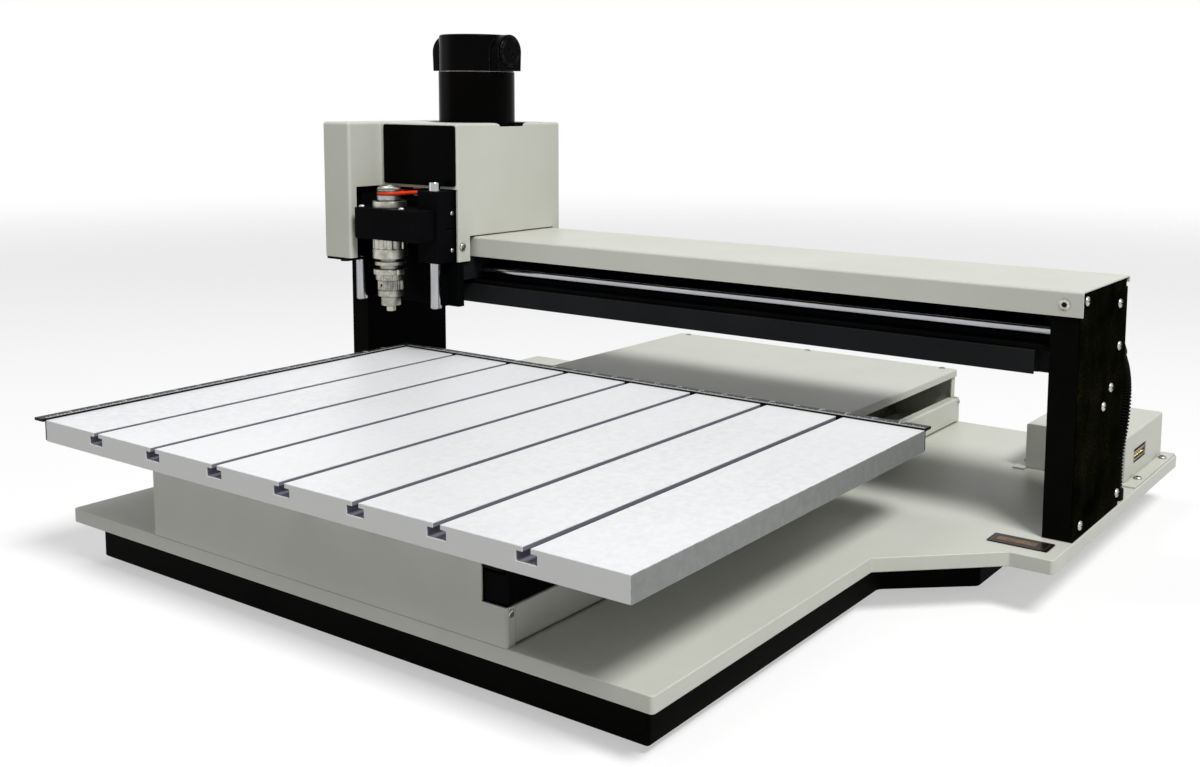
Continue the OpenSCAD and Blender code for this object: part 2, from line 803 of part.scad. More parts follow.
module connector_box() {
    z1 = deck + conn_h;
    color(pale) difference() {
        union() {
            difference() {
                block(conn_x, conn_y, [deck, z1]);
                block([conn_x[0] + sheet_t, conn_x[1] - sheet_t],
                    [conn_y[0] + sheet_t, conn_y[1] - sheet_t], [deck - 1, z1 - sheet_t]);
            }
            block([conn_x[0] - 10, conn_x[0] + 1], [conn_y[0] - 8, conn_y[1] + 8],
                [deck, deck + sheet_t]);
            block([conn_x[1] - 1, conn_x[1] + 12], [conn_y[0] - 8, conn_y[1] + 8],
                [deck, deck + sheet_t]);
        }
        block([conn_x[1] - 3, conn_x[1] + 3], [plug_y - 20.5, plug_y + 20.5],
            [plug_z - 7, plug_z + 7]);
        for (p = conn_screws) bar_z(p[0], p[1], [deck - 1, deck + sheet_t + 1], 2);
    }
}

plug_y = conn_y[0] + 48.4;
plug_z = deck + 20;

// A socket of 25 pins behind the cut-out, with its flange against the sheet
module cable_connector() {
    x = conn_x[1] - sheet_t - seat;
    color(steel) difference() {
        union() {
            block([x - 1, x], [plug_y - 26.5, plug_y + 26.5], [plug_z - 9, plug_z + 9]);
            block([x - 9, x + 1.4], [plug_y - 19.5, plug_y + 19.5],
                [plug_z - 4.2, plug_z + 4.2]);
        }
        block([x - 5, x + 2], [plug_y - 18.7, plug_y + 18.7], [plug_z - 3.4, plug_z + 3.4]);
    }
    color("#c8a24a")
        for (row = [0, 1], k = [0 : 12 - row])
            bar_x([x - 5.5, x + 0.6], plug_y + (k - (12 - row) / 2) * 2.76,
                plug_z + (row - 0.5) * -2.84, 0.5, $fn = 16);
}

gland_reach = 7.5 / sin(loom_lean);
loom_gland_z = loom_start[1] + gland_reach * cos(loom_lean);

// A ring of the loom has 8 points round the path
function ring(i, r) = let (p = loom_path[i], h = heading(i * loom_step))
    [for (k = [0 : 7]) [loom_x + r * cos(k * 45), p[0] + r * sin(k * 45) * cos(h),
        p[1] + r * sin(k * 45) * sin(h)]];
crests = [for (i = [0 : 2 : loom_rings]) ring(i, loom_r)];
echo(least_gap_between_ribs = min([for (i = [1 : len(crests) - 1], k = [0 : 7])
    norm(crests[i][k] - crests[i - 1][k])]));

module cable_loom() {
    n = loom_rings;
    outer = [for (i = [0 : n]) ring(i, i % 2 == 0 ? loom_r : loom_r - 1.4)];
    inner = [for (i = [0 : n]) ring(i, loom_r - 2.6)];
    points = [for (g = outer, p = g) p, for (g = inner, p = g) p];
    base = 8 * (n + 1);
    walls = [for (i = [0 : n - 1], k = [0 : 7])
        let (a = 8 * i + k, b = 8 * i + (k + 1) % 8)
        each [[a, b + 8, b], [a, a + 8, b + 8],
            [base + a, base + b, base + b + 8], [base + a, base + b + 8, base + a + 8]]];
    ends = [for (k = [0 : 7]) let (m = (k + 1) % 8, e = 8 * n)
        each [[k, m, base + m], [k, base + m, base + k],
            [e + k, base + e + m, e + m], [e + k, base + e + k, base + e + m]]];
    color(black) polyhedron(points, concat(walls, ends), convexity = 4);
}

// Slanted gland on the rear of the column and collar on the base plate
module loom_glands() {
    back = column_y + column_d;
    r = loom_r + 1.5;
    color(black) {
        difference() {
            translate([loom_x, loom_start[0], loom_start[1]]) rotate([loom_lean, 0, 0])
                cylinder(h = gland_reach + r + 2, r = r);
            block([loom_x - 20, loom_x + 20], [back - 20, back],
                [loom_start[1] - 20, loom_start[1] + 40]);
        }
        bar_y(loom_x, [back - 5, back + 1], loom_gland_z, 5);
        bar_z(loom_x, loom_end[0], [deck, loom_end[1]], r);
    }
}

label_size = [50, 21, 1];
label_inset = [10.5, 15];

module label_plate() {
    x1 = plate_x - label_inset[0];
    y0 = flare_start + flare_len + label_inset[1];
    color("#17181a")
        block([x1 - label_size[0], x1], [y0, y0 + label_size[1]], [deck, deck + label_size[2]]);
}

module case_screws() {
    color(steel) {
        both() for (p = skin_screws)
            translate([column_x + column_t, p[0], deck + p[1]]) rotate([0, 90, 0])
                pan_screw(4.2, 2.8, 2.3, 10);
        both() for (x = lip_screw_x)
            translate([x, bridge_y[0], lip_screw_z]) rotate([90, 0, 0])
                pan_screw(4.6, 0.7, 1.9, 8);
        for (p = front_screws)
            translate([p[0], p[1], plate_z]) rotate([180, 0, 0]) pan_screw(4.6, 4, 2.4, 8);
        for (p = conn_screws)
            translate([p[0], p[1], deck + sheet_t]) pan_screw(4, 2.4, 1.6, 8);
        for (x = cover_screw_x)
            translate([x, plate_y - 5, cover_z]) pan_screw(3.4, 1, 1.6, 8);
        for (s = [-1, 1], t = [-1, 1])
            translate([s * house_x, t * end_screw_y, end_screw_z])
                rotate([0, s * 90, 0]) pan_screw(2.6, 0.9, 1.5, 5);
    }
}

// Everything from here on rides with the head
module at_head() {
    translate([head_x, 0, 0]) children();
}

head_screw_y = column_y - 20.3;
head_screw_z = cover_top - 9;

module head_plate() {
    y = [head_plate_y, head_plate_y + head_plate_t];
    ear_in = rod_x - 14.5;
    color(black) at_head() difference() {
        union() {
            block([-plate_half, plate_half], y, [head_plate_z, cover_top - 9.5]);
            block([-plate_half, -ear_in], y, [head_plate_z, panel_z - 1.5]);
            block([ear_in, plate_half], y, [head_plate_z, panel_z - 1.5]);
            block([-plate_half, lift_x + 18], y, [panel_z - 3, shelf_z + 30]);
            block([-plate_half, lift_x + 18], [y[0], lift_y + 20], [shelf_z, shelf_z + 4]);
        }
        bar_z(lift_x, lift_y, [shelf_z - 1, shelf_z + 5], 6);
        for (s = [-1, 1])
            bar_x(s > 0 ? [plate_half - 8, plate_half + 1] : [-plate_half - 1, 8 - plate_half],
                head_screw_y, head_screw_z, 2);
    }
}

// A bearing block on both bridge rails, centred on x
module head_block(x, len) {
    y0 = head_plate_y + head_plate_t;
    lip_y = column_y - 0.3 - sheet_t;
    w = rib_w / 2 + play;
    difference() {
        union() {
            block([x - len / 2, x + len / 2], [y0, lip_y + 5],
                [ledge_z + 1.5, cover_top - bridge_lip - 1.3]);
            block([x - len / 2, x + len / 2], [lip_y + 4, bridge_rail_y + 12],
                [ledge_z + 1.5, beam_top - beam_wall - 1]);
        }
        bar_x([x - len, x + len], bridge_rail_y, rail_low_z, rail_d / 2 + run);
        bar_x([x - len, x + len], bridge_rail_y, rail_high_z, rail_d / 2 + run);
        block([x - len, x + len], [bridge_rail_y - w, bridge_rail_y + w],
            [ledge_z, rail_low_z]);
        block([x - len, x + len], [bridge_rail_y - w, bridge_rail_y + w],
            [rail_high_z, beam_top]);
    }
}

module head_bearing_blocks() {
    color("#3a3c3f") at_head() {
        head_block(-head_block_x, head_block_len);
        head_block(head_block_x, head_block_len);
    }
}

module head_nut() {
    y0 = head_plate_y + head_plate_t;
    color("#b49a58") at_head() difference() {
        union() {
            block([-15, 15], [y0, drive_y - 12],
                [rail_low_z + rail_d / 2 + 1.2, cover_top - bridge_lip - 1.3]);
            block([-18, 18], [drive_y - 14, drive_y + 14], [drive_z - 14, drive_z + 14]);
        }
        bar_x([-19, 19], drive_y, drive_z, bridge_screw_d / 2 + run);
    }
}

module guide_rods() {
    z = [rod_z, rod_z + rod_len];
    color(steel) at_head() for (x = [-rod_x, rod_x]) {
        bar_z(x, rod_y, z, rod_d / 2);
        block([x - 3, x + 3], [rod_y, head_plate_y], [head_plate_z, panel_z - 1.5]);
    }
}

module lift_motor() {
    z = [shelf_z + 4, shelf_z + 4 + small_motor];
    color(black) at_head() difference() {
        block([lift_x - small_motor / 2, lift_x + small_motor / 2],
            [lift_y - small_motor / 2, lift_y + small_motor / 2], z);
        bar_z(lift_x, lift_y, [z[0] - 1, z[0] + 16], 2.5 + run);
    }
}

module lift_lead_screw() {
    color(steel) at_head() {
        bar_z(lift_x, lift_y, [cover_top + 4, shelf_z + 3.5], 4);
        bar_z(lift_x, lift_y, [shelf_z + 3, shelf_z + 18], 2.5);
    }
}

// One long side of the head cover, with the notch for the bridge. Below the name panel
// its front edge stands back by the distance relief.
module side_sheet(y0, relief) {
    block([0, sheet_t], [y0 + relief, notch_y[0]], [tab_z, head_z]);
    block([0, sheet_t], [y0, notch_y[0]], [panel_z, head_z]);
    block([0, sheet_t], [notch_y[0] - 1, notch_y[1] + 1], [notch_z, head_z]);
    block([0, sheet_t], [notch_y[1], back_y], [tab_z, head_z]);
}

module head_cover() {
    wing_x = -half + wing_w;
    color(pale) at_head() difference() {
        union() {
            block([-half, half], [front_y, back_y], [head_z - sheet_t, head_z]);
            block([-half, wing_x], [wing_y, front_y + 1], [head_z - sheet_t, head_z]);
            block([-half, wing_x], [wing_y, wing_y + sheet_t], [tab_z, head_z]);
            block([wing_x - sheet_t, wing_x], [wing_y, front_y + sheet_t],
                [panel_z - 0.5, head_z]);
            block([wing_x - sheet_t, wing_x], [wing_y, wing_y + 9.6], [tab_z, head_z]);
            block([wing_x - sheet_t, half], [front_y, front_y + sheet_t],
                [panel_z, head_z]);
            block([-half, half], [back_y - sheet_t, back_y], [tab_z, head_z]);
            translate([-half, 0, 0]) side_sheet(wing_y, 0);
            translate([half - sheet_t, 0, 0]) side_sheet(front_y, sheet_t);
        }
        bar_z(motor_x, motor_y, [head_z - 4, head_z + 1], motor_hole_r);
        bar_x([-half - 1, half + 1], head_screw_y, head_screw_z, 2.2);
    }
}

module name_panel() {
    wing_x = -half + wing_w;
    color("#101113") at_head()
        block([wing_x + 5, half - 1.5], [front_y - 1, front_y],
            [panel_z + 2.9, head_z - 2.4]);
}

module head_screws() {
    color(steel) at_head() for (s = [-1, 1])
        translate([s * half, head_screw_y, head_screw_z]) rotate([0, s * 90, 0])
            pan_screw(4.2, 2.6, 1.8, 8);
}

module pointer_lamp() {
    x = -half + wing_w / 2;
    y = wing_y + 11.5;
    color(black) at_head() difference() {
        union() {
            block([-half + 2, -half + wing_w - 2], [wing_y + 1, wing_y + 19.5],
                [tab_z - 2.7, tab_z - seat]);
            bar_z(x, y, [tab_z - 5, tab_z + 70], 6);
        }
        bar_z(x, y, [tab_z - 6, tab_z], 3);
    }
}

module lift_bearing_blocks() {
    w = lift_block_w / 2;
    z = [block_z, block_z + lift_block_h];
    color(black) at_head() for (x = [-rod_x, rod_x])
        difference() {
            block([x - w, x + w], block_y, z);
            bar_z(x, rod_y, [z[0] - 1, z[1] + 1], rod_d / 2 + run);
            block([x - 3.5, x + 3.5], [rod_y, block_y[1] + 1], [z[0] - 1, z[1] + 1]);
            for (p = block_screw_z)
                bar_x(x > 0 ? [x + w - 7, x + w + 1] : [x - w - 1, x - w + 7],
                    block_screw_y, p, 1.6);
            if (x > 0) block([x + w - 2, x + w + 1], [block_y[1] - 12, block_y[1] + 1],
                [z[0] + 35, z[0] + 36.2]);
        }
}

block_screw_y = rod_y + 9.7;
block_screw_z = [block_z + 13, block_z + 52];

// Clamp round the spindle: a front block and a rear web between the bearing blocks
module spindle_clamp() {
    z = [clamp_z, clamp_top];
    left = -rod_x + lift_block_w / 2 + seat;
    color(black) at_head() difference() {
        union() {
            block([-28.2, rod_x + 9.5], [clamp_y, block_y[0]], z);
            block([left, -left], [block_y[0] - 1, block_y[1]], z);
        }
        bar_z(0, spindle_y, [z[0] - 1, z[1] + 1], quill_d / 2 + run);
        for (x = clamp_screw_x) bar_z(x, clamp_screw_y, [z[1] - 8, z[1] + 1], 1.9);
    }
}

clamp_screw_x = [-22.5, 37];
clamp_screw_y = clamp_y + 6;

module clamp_screws() {
    w = lift_block_w / 2;
    color(steel) at_head() {
        for (x = clamp_screw_x) translate([x, clamp_screw_y, clamp_top])
            pan_screw(3.6, 3, 1.7, 7);
        for (s = [-1, 1], p = block_screw_z)
            translate([s * (rod_x + w), block_screw_y, p]) rotate([0, s * 90, 0])
                pan_screw(2.4, 1.4, 1.4, 6);
    }
}

// Frame that carries the motor and follows the lift. The belt passes through a window
// in its riser.
frame_half = rod_x - lift_block_w / 2 - 4;
riser_y = [column_y - 11.8, column_y - 4.3];
belt_mid = motor_x * (sum_to(riser_y, 2) / 2 - spindle_y) / (motor_y - spindle_y);
window_half = motor_groove + 4;

module lift_frame() {
    color(black) at_head() difference() {
        union() {
            block([-frame_half, frame_half], [spindle_y + collar_d / 2 + 0.6, riser_y[1]],
                [clamp_top, clamp_top + 7.5]);
            block([-frame_half, frame_half], riser_y, [clamp_top + 1, frame_z + 1]);
            block([-frame_half, half - sheet_t - 10], [riser_y[0], motor_y + motor_d / 2 + 2],
                [frame_z, motor_z]);
            block([lift_x - 13, 1 - frame_half], [lift_y - 13, lift_y + 13],
                [frame_z - 4, motor_z]);
        }
        block([belt_mid - window_half, belt_mid + window_half],
            [riser_y[0] - 1, riser_y[1] + 1], [belt_z - 6, belt_z + 6]);
        bar_z(motor_x, motor_y, [frame_z - 1, motor_z + 1], 12);
        bar_z(lift_x, lift_y, [frame_z - 5, motor_z + 1], 4 + run);
    }
}

flute_count = 12;
neck_z = cover_top - 46.3;
collar_z = cover_top - 13.5;

module spindle_quill() {
    r = quill_d / 2;
    collar_r = collar_d / 2;
    color(alloy) at_head() translate([0, spindle_y, 0]) difference() {
        union() {
            bar_z(0, 0, [collar_z - 9, clamp_top], r);
            bar_z(0, 0, [clamp_top, clamp_top + 6.6], collar_r);
            bar_z(0, 0, [clamp_top + 6, clamp_top + 8], r - 1);
            bar_z(0, 0, [collar_z, clamp_z - seat], collar_r);
            bar_z(0, 0, [collar_z - 10, collar_z], collar_r + 0.7);
            bar_z(0, 0, [collar_z - 17.4, collar_z - 13.6], collar_r - 1.5);
            bar_z(0, 0, [neck_z, collar_z - 8], r - 1.7);
        }
        bar_z(0, 0, [neck_z - 1, clamp_top + 9], shaft_r + run);
        for (k = [0 : flute_count - 1]) rotate([0, 0, k * 360 / flute_count])
            translate([collar_r + 1.4, 0, collar_z]) cylinder(h = 20, r = 2.6, $fn = 24);
    }
}

shaft_r = 8;
shaft_z = [neck_z + 12, belt_z + 3.5];

// The groove of a belt pulley, round at its root and open to the rim
module belt_groove(r) {
    w = belt_d / 2 + 0.3;
    translate([0, 0, belt_z]) rotate_extrude() {
        translate([r, 0]) circle(r = w, $fn = 32);
        translate([r, -w]) square([belt_d, 2 * w]);
    }
}

module spindle_shaft() {
    pulley_z = clamp_top + 8.4;
    color(steel) at_head() translate([0, spindle_y, 0]) difference() {
        union() {
            bar_z(0, 0, [shaft_z[0], pulley_z], shaft_r);
            bar_z(0, 0, [pulley_z, shaft_z[1]], spindle_groove + 2.7);
        }
        bar_z(0, 0, [shaft_z[0] - 1, shaft_z[1] + 1], cutter_d / 2);
        bar_z(0, 0, [shaft_z[1] - 5, shaft_z[1] + 1], 5 + run);
        belt_groove(belt_r[0]);
    }
}

bore_relief = 0.9;    // room round the cutter in the knob and the nose

module tool_knob() {
    z = shaft_z[1];
    color(steel) at_head() translate([0, spindle_y, 0]) difference() {
        union() {
            translate([0, 0, z]) rotate_extrude()
                polygon([[0, 0.3], [12.2, 0.3], [12.2, 2.4], [10, 4.4], [0, 4.4]]);
            bar_z(0, 0, [z - 4.7, z + 1], 5);
        }
        bar_z(0, 0, [z - 6, z + 8], cutter_d / 2 + bore_relief);
    }
}

module micrometer_barrel() {
    z = neck_z;
    r = barrel_d / 2;
    color(alloy) at_head() translate([0, spindle_y, 0]) difference() {
        union() {
            bar_z(0, 0, [z + 5.6, z + 11], r + 4.3);
            bar_z(0, 0, [z - 0.4, z + 5.6], r + 2.1);
            bar_z(0, 0, [z - 18.3, z - 0.4], r);
        }
        bar_z(0, 0, [z - 0.5, z + 12], quill_d / 2 - 1.7 + run);
        bar_z(0, 0, [z - 19, z], nose_r + run);
    }
}

nose_r = 8.4;
nose_z = neck_z - 18.6;

module nose_tube() {
    color(alloy) at_head() translate([0, spindle_y, 0]) difference() {
        union() {
            bar_z(0, 0, [nose_z, neck_z - 3], nose_r);
            bar_z(0, 0, [nose_z - 9.8, nose_z], nose_d / 2);
            bar_z(0, 0, [nose_z - 16, nose_z - 9.8], tip_d / 2);
        }
        bar_z(0, 0, [nose_z - 17, neck_z], cutter_d / 2 + bore_relief);
    }
}

// Round belt on two pulleys, swept along two arcs and the straight runs between them
belt_span = [motor_x, motor_y - spindle_y];
belt_len = norm(belt_span);
belt_angle = atan2(belt_span[1], belt_span[0]);
belt_r = [spindle_groove + belt_d / 2 - 1.5, motor_groove + belt_d / 2 - 1.5];
belt_skew = asin((belt_r[1] - belt_r[0]) / belt_len);
arc_steps = 14;
belt_path = concat(
    [for (k = [0 : arc_steps]) let (w = 90 + belt_skew + (180 - 2 * belt_skew) * k / arc_steps)
        [w, 0, belt_r[0]]],
    [for (k = [0 : arc_steps]) let (w = belt_skew - 90 - 2 * belt_skew
        + (180 + 2 * belt_skew) * k / arc_steps) [w, belt_len, belt_r[1]]]);

module drive_belt() {
    n = len(belt_path);
    sides = 10;
    points = [for (p = belt_path, k = [0 : sides - 1]) let (q = k * 360 / sides,
        r = p[2] + belt_d / 2 * cos(q))
        [p[1] + r * cos(p[0]), r * sin(p[0]), belt_d / 2 * sin(q)]];
    faces = [for (i = [0 : n - 1], k = [0 : sides - 1])
        let (a = sides * i + k, b = sides * i + (k + 1) % sides,
            c = sides * ((i + 1) % n) + k, d = sides * ((i + 1) % n) + (k + 1) % sides)
        each [[a, b, d], [a, d, c]]];
    color("#e8501c") at_head() translate([0, spindle_y, belt_z])
        rotate([0, 0, belt_angle]) polyhedron(points, faces, convexity = 4);
}

module motor_pulley() {
    color(steel) at_head() translate([motor_x, motor_y, 0]) difference() {
        union() {
            bar_z(0, 0, [belt_z - 6, belt_z + 6], motor_groove + 0.6);
            bar_z(0, 0, [belt_z + 6, motor_z + 20], 5);
        }
        belt_groove(belt_r[1]);
    }
}

module motor_housing() {
    r = motor_d / 2;
    color(black) at_head() translate([motor_x, motor_y, 0]) difference() {
        union() {
            difference() {
                bar_z(0, 0, [motor_z, cap_z], r);
                bar_z(0, 0, [motor_z + 6, cap_z - 5], r - 4);
            }
            bar_z(0, 0, [motor_z + 5, cap_z - 4], r - 14);
        }
        bar_z(0, 0, [motor_z - 1, motor_z + 22], 5 + run);
    }
}

ear_out = motor_d / 2 + 7.3;

module motor_cap() {
    ear = ear_w / 2;
    out = ear_out;
    z0 = cap_z + 1;
    z1 = z0 + cap_h;
    color(black) at_head() translate([motor_x, motor_y, 0]) difference() {
        union() {
            bar_z(0, 0, [cap_z, z1], motor_d / 2 - 1);
            block([-out, out], [-ear, ear], [z0, z1 - ear]);
            bar_x([-out, out], 0, z1 - ear, ear);
        }
        for (s = [-1, 1])
            bar_x(s > 0 ? [out - 12, out + 1] : [-out - 1, 12 - out], 0, z1 - ear, 9);
        block([-out - 1, out + 1], [-ear - 1, -ear], [z0, z1]);
    }
}

module brush_caps() {
    out = ear_out;
    z = cap_z + 1 + cap_h - ear_w / 2;
    color(black) at_head() translate([motor_x, motor_y, z])
        for (s = [-1, 1]) mirror([s < 0 ? 1 : 0, 0, 0]) difference() {
            union() {
                bar_x([out, out + 1.8], 0, 0, brush_d / 2);
                bar_x([out - 11, out + 1], 0, 0, 8.8);
            }
            rotate([35, 0, 0]) block([out + 0.8, out + 3], [-5, 5], [-0.7, 0.7]);
        }
}

rubber_feet();
base_pan();
base_plate();
housing_front();
housing_rear();
housing_sides();
housing_cover();
corner_seal();
bed_rails();
screw_bearings();
bed_motor();
bed_timing_belt();
bed_motor_pulley();
bed_lead_screw();
bed_carriage();
bed_bearing_blocks();
bed_nut();
bed_plate();
scale_strips();
strip_screws();
column_left();
column_right();
column_skin_left();
column_skin_right();
bridge_beam();
bridge_rails();
bridge_channel();
bridge_cover();
bridge_motor();
bridge_lead_screw();
connector_box();
cable_connector();
cable_loom();
loom_glands();
label_plate();
case_screws();
head_plate();
head_bearing_blocks();
head_nut();
guide_rods();
lift_motor();
lift_lead_screw();
head_cover();
name_panel();
head_screws();
pointer_lamp();
lift_bearing_blocks();
spindle_clamp();
lift_frame();
clamp_screws();
spindle_quill();
spindle_shaft();
tool_knob();
micrometer_barrel();
nose_tube();
drive_belt();
motor_pulley();
motor_housing();
motor_cap();
brush_caps();
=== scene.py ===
import json
import math

import bmesh
import bpy
from mathutils import Matrix, Vector


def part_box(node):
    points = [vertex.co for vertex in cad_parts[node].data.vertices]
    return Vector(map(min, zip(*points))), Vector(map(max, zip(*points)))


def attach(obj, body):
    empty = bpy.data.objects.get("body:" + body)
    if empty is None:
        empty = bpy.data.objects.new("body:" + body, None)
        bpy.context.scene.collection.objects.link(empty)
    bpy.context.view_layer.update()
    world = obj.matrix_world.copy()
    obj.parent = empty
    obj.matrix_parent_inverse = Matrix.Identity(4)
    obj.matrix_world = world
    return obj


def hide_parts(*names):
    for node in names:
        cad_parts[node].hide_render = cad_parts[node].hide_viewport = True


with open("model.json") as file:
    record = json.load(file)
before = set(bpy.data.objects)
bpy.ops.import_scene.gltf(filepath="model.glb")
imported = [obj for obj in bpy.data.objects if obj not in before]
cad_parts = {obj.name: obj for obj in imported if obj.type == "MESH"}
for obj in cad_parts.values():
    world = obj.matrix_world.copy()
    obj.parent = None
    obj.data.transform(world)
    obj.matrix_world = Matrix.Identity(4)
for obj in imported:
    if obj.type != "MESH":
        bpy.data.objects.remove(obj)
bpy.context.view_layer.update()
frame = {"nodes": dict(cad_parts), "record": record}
nodes = frame["nodes"]
record = frame["record"]


def placed(name, data):
    thing = bpy.data.objects.new(name, data)
    bpy.context.collection.objects.link(thing)
    return thing


# Camera, fitted to the photograph: its pixels are 1200 by 767
photograph = {"width": 1200, "height": 767, "focal": 1302.46, "centreX": 685.42, "centreY": 250.0}
cameraPlace = {
    "location": (0.734459, -0.968593, 0.402755),
    "yaw": 0.599,
    "pitch": -0.116,
    "roll": 0.009,
    "sensor": 36,
    "clipEnd": 50,
}


def placeCamera():
    c, p = cameraPlace, photograph
    yaw, pitch, roll = c["yaw"], c["pitch"], c["roll"]
    ahead = Vector((-math.sin(yaw) * math.cos(pitch), math.cos(yaw) * math.cos(pitch),
                    math.sin(pitch)))
    right = ahead.cross(Vector((0, 0, 1))).normalized()
    up = right.cross(ahead)
    rightRolled = right * math.cos(roll) + up * math.sin(roll)
    upRolled = up * math.cos(roll) - right * math.sin(roll)
    data = bpy.data.cameras.new("photoCamera")
    data.sensor_width = c["sensor"]
    data.lens = p["focal"] * c["sensor"] / p["width"]
    data.shift_x = (p["width"] / 2 - p["centreX"]) / p["width"]
    data.shift_y = (p["centreY"] - p["height"] / 2) / p["width"]
    data.clip_end = c["clipEnd"]
    camera = placed("photoCamera", data)
    axes = Matrix((rightRolled, upRolled, -ahead)).transposed()
    camera.matrix_world = Matrix.Translation(c["location"]) @ axes.to_4x4()
    bpy.context.scene.camera = camera


placeCamera()
print("camera placed")


# Shader helpers: every value may be a plain one or the output of another node
def fill(node, inputs):
    for title, value in inputs.items():
        if isinstance(value, bpy.types.NodeSocket):
            node.id_data.links.new(value, node.inputs[title])
        else:
            node.inputs[title].default_value = value
    return node


def addNode(tree, kind, inputs=(), **settings):
    node = tree.nodes.new("ShaderNode" + kind)
    for title, value in settings.items():
        setattr(node, title, value)
    return fill(node, dict(inputs))


def mathNode(operation, first, second=0.0, clamp=False):
    node = addNode(first.id_data, "Math", {0: first, 1: second}, operation=operation,
                   use_clamp=clamp)
    return node.outputs[0]


def times(first, *others):
    for other in others:
        first = mathNode("MULTIPLY", first, other)
    return first


def backgroundRay(tree):
    # 1 for the rays that see the background: camera, glossy and transmission ones
    rays = addNode(tree, "LightPath").outputs
    seen = mathNode("MAXIMUM", rays["Is Camera Ray"], rays["Is Glossy Ray"])
    return mathNode("MAXIMUM", seen, rays["Is Transmission Ray"])


def nodeMaterial(name):
    material = bpy.data.materials.new(name)
    material.use_nodes = True
    return material, material.node_tree, material.node_tree.nodes["Principled BSDF"]


# Studio: a pale floor, a soft sky and three soft lamps
studio = {
    "floorSize": 30.0,
    "floorTone": (0.56, 0.56, 0.56, 1),
    "floorLift": 0.48,
    "floorFade": (1.3, 4.5),
    "white": (1, 1, 1, 1),
    "skyTone": (0.98, 0.99, 1.0, 1),
    "skyLight": 0.11,
    "skySeen": 1.0,
}
lamps = {
    "key": {"at": (2.7, -1.2, 4.3), "aim": (-0.1, 0, 0.15), "size": 1.5, "watts": 232},
    "overhead": {"at": (-0.9, -0.4, 2.8), "aim": (-0.1, 0, 0.1), "size": 1.2, "watts": 15},
    "leftSide": {"at": (-2.6, -1.3, 0.9), "aim": (-0.2, -0.2, 0.1), "size": 1.4, "watts": 6},
}


def addLamp(name, spec):
    data = bpy.data.lights.new(name, "AREA")
    data.shape = "SQUARE"
    data.size = spec["size"]
    data.energy = spec["watts"]
    lamp = placed(name, data)
    lamp.location = spec["at"]
    direction = Vector(spec["aim"]) - Vector(spec["at"])
    lamp.rotation_euler = direction.to_track_quat("-Z", "Y").to_euler()


def buildSky():
    sky = bpy.data.worlds.new("studioSky")
    sky.use_nodes = True
    tree = sky.node_tree
    tree.nodes.clear()
    lit = addNode(tree, "Background", {"Color": studio["skyTone"],
                                       "Strength": studio["skyLight"]})
    white = addNode(tree, "Background", {"Color": studio["white"],
                                         "Strength": studio["skySeen"]})
    mix = addNode(tree, "MixShader", {0: backgroundRay(tree), 1: lit.outputs[0],
                                      2: white.outputs[0]})
    addNode(tree, "OutputWorld", {"Surface": mix.outputs[0]})
    bpy.context.scene.world = sky


def buildFloor():
    half = studio["floorSize"] / 2
    mesh = bpy.data.meshes.new("floor")
    corners = [(-half, -half, 0), (half, -half, 0), (half, half, 0), (-half, half, 0)]
    mesh.from_pydata(corners, [], [(0, 1, 2, 3)])
    floor = placed("floor", mesh)
    paint, tree, shader = nodeMaterial("floorPaint")
    # far from the machine the floor gives way to the white background
    spot = addNode(tree, "TexCoord").outputs["Object"]
    reach = addNode(tree, "VectorMath", {0: spot}, operation="LENGTH").outputs["Value"]
    near, far = studio["floorFade"]
    fade = addNode(tree, "MapRange", {"Value": reach, "From Min": near, "From Max": far,
                                      "To Min": 1, "To Max": 0},
                   interpolation_type="SMOOTHSTEP")
    fill(shader, {
        "Base Color": studio["floorTone"],
        "Roughness": 1.0,
        "Specular IOR Level": 0.0,
        "Emission Color": studio["white"],
        "Emission Strength": times(backgroundRay(tree), studio["floorLift"]),
        "Alpha": fade.outputs["Result"],
    })
    mesh.materials.append(paint)


bpy.context.scene.view_settings.view_transform = "Standard"
for lampName, lampSpec in lamps.items():
    addLamp(lampName, lampSpec)
buildSky()
buildFloor()
print("studio lit")


# Shader node groups that the finishes share
def tone(red, green, blue):
    # a colour as a screen shows it, 0 to 255, turned into Blender's linear values
    def linear(part):
        part /= 255
        return part / 12.92 if part <= 0.04045 else ((part + 0.055) / 1.055) ** 2.4
    return linear(red), linear(green), linear(blue), 1


def toned(values):
    return {title: tone(*value) if isinstance(value, tuple) else value
            for title, value in values.items()}


groups = {}


def newGroup(name, inputs, outputs=("Color", "Roughness", "Height")):
    tree = groups[name] = bpy.data.node_groups.new(name, "ShaderNodeTree")
    for title, value in toned(inputs).items():
        kind = "NodeSocketFloat" if isinstance(value, (int, float)) else "NodeSocketColor"
        socket = tree.interface.new_socket(title, in_out="INPUT", socket_type=kind)
        socket.default_value = value
    for title in outputs:
        kind = "NodeSocketColor" if title == "Color" else "NodeSocketFloat"
        tree.interface.new_socket(title, in_out="OUTPUT", socket_type=kind)
    start = tree.nodes.new("NodeGroupInput").outputs
    end = tree.nodes.new("NodeGroupOutput")
    return start, end, addNode(tree, "TexCoord").outputs["Object"]


def noiseNode(place, scale, detail=2.0, roughness=0.5):
    return addNode(place.id_data, "TexNoise", {"Vector": place, "Scale": scale, "Detail": detail,
                                               "Roughness": roughness}).outputs["Fac"]


def mixTones(factor, first, second):
    return addNode(factor.id_data, "Mix", {0: factor, 6: first, 7: second},
                   data_type="RGBA").outputs[2]


def contrast(value, low, high):
    return addNode(value.id_data, "MapRange", {"Value": value, "From Min": low,
                                               "From Max": high}).outputs["Result"]


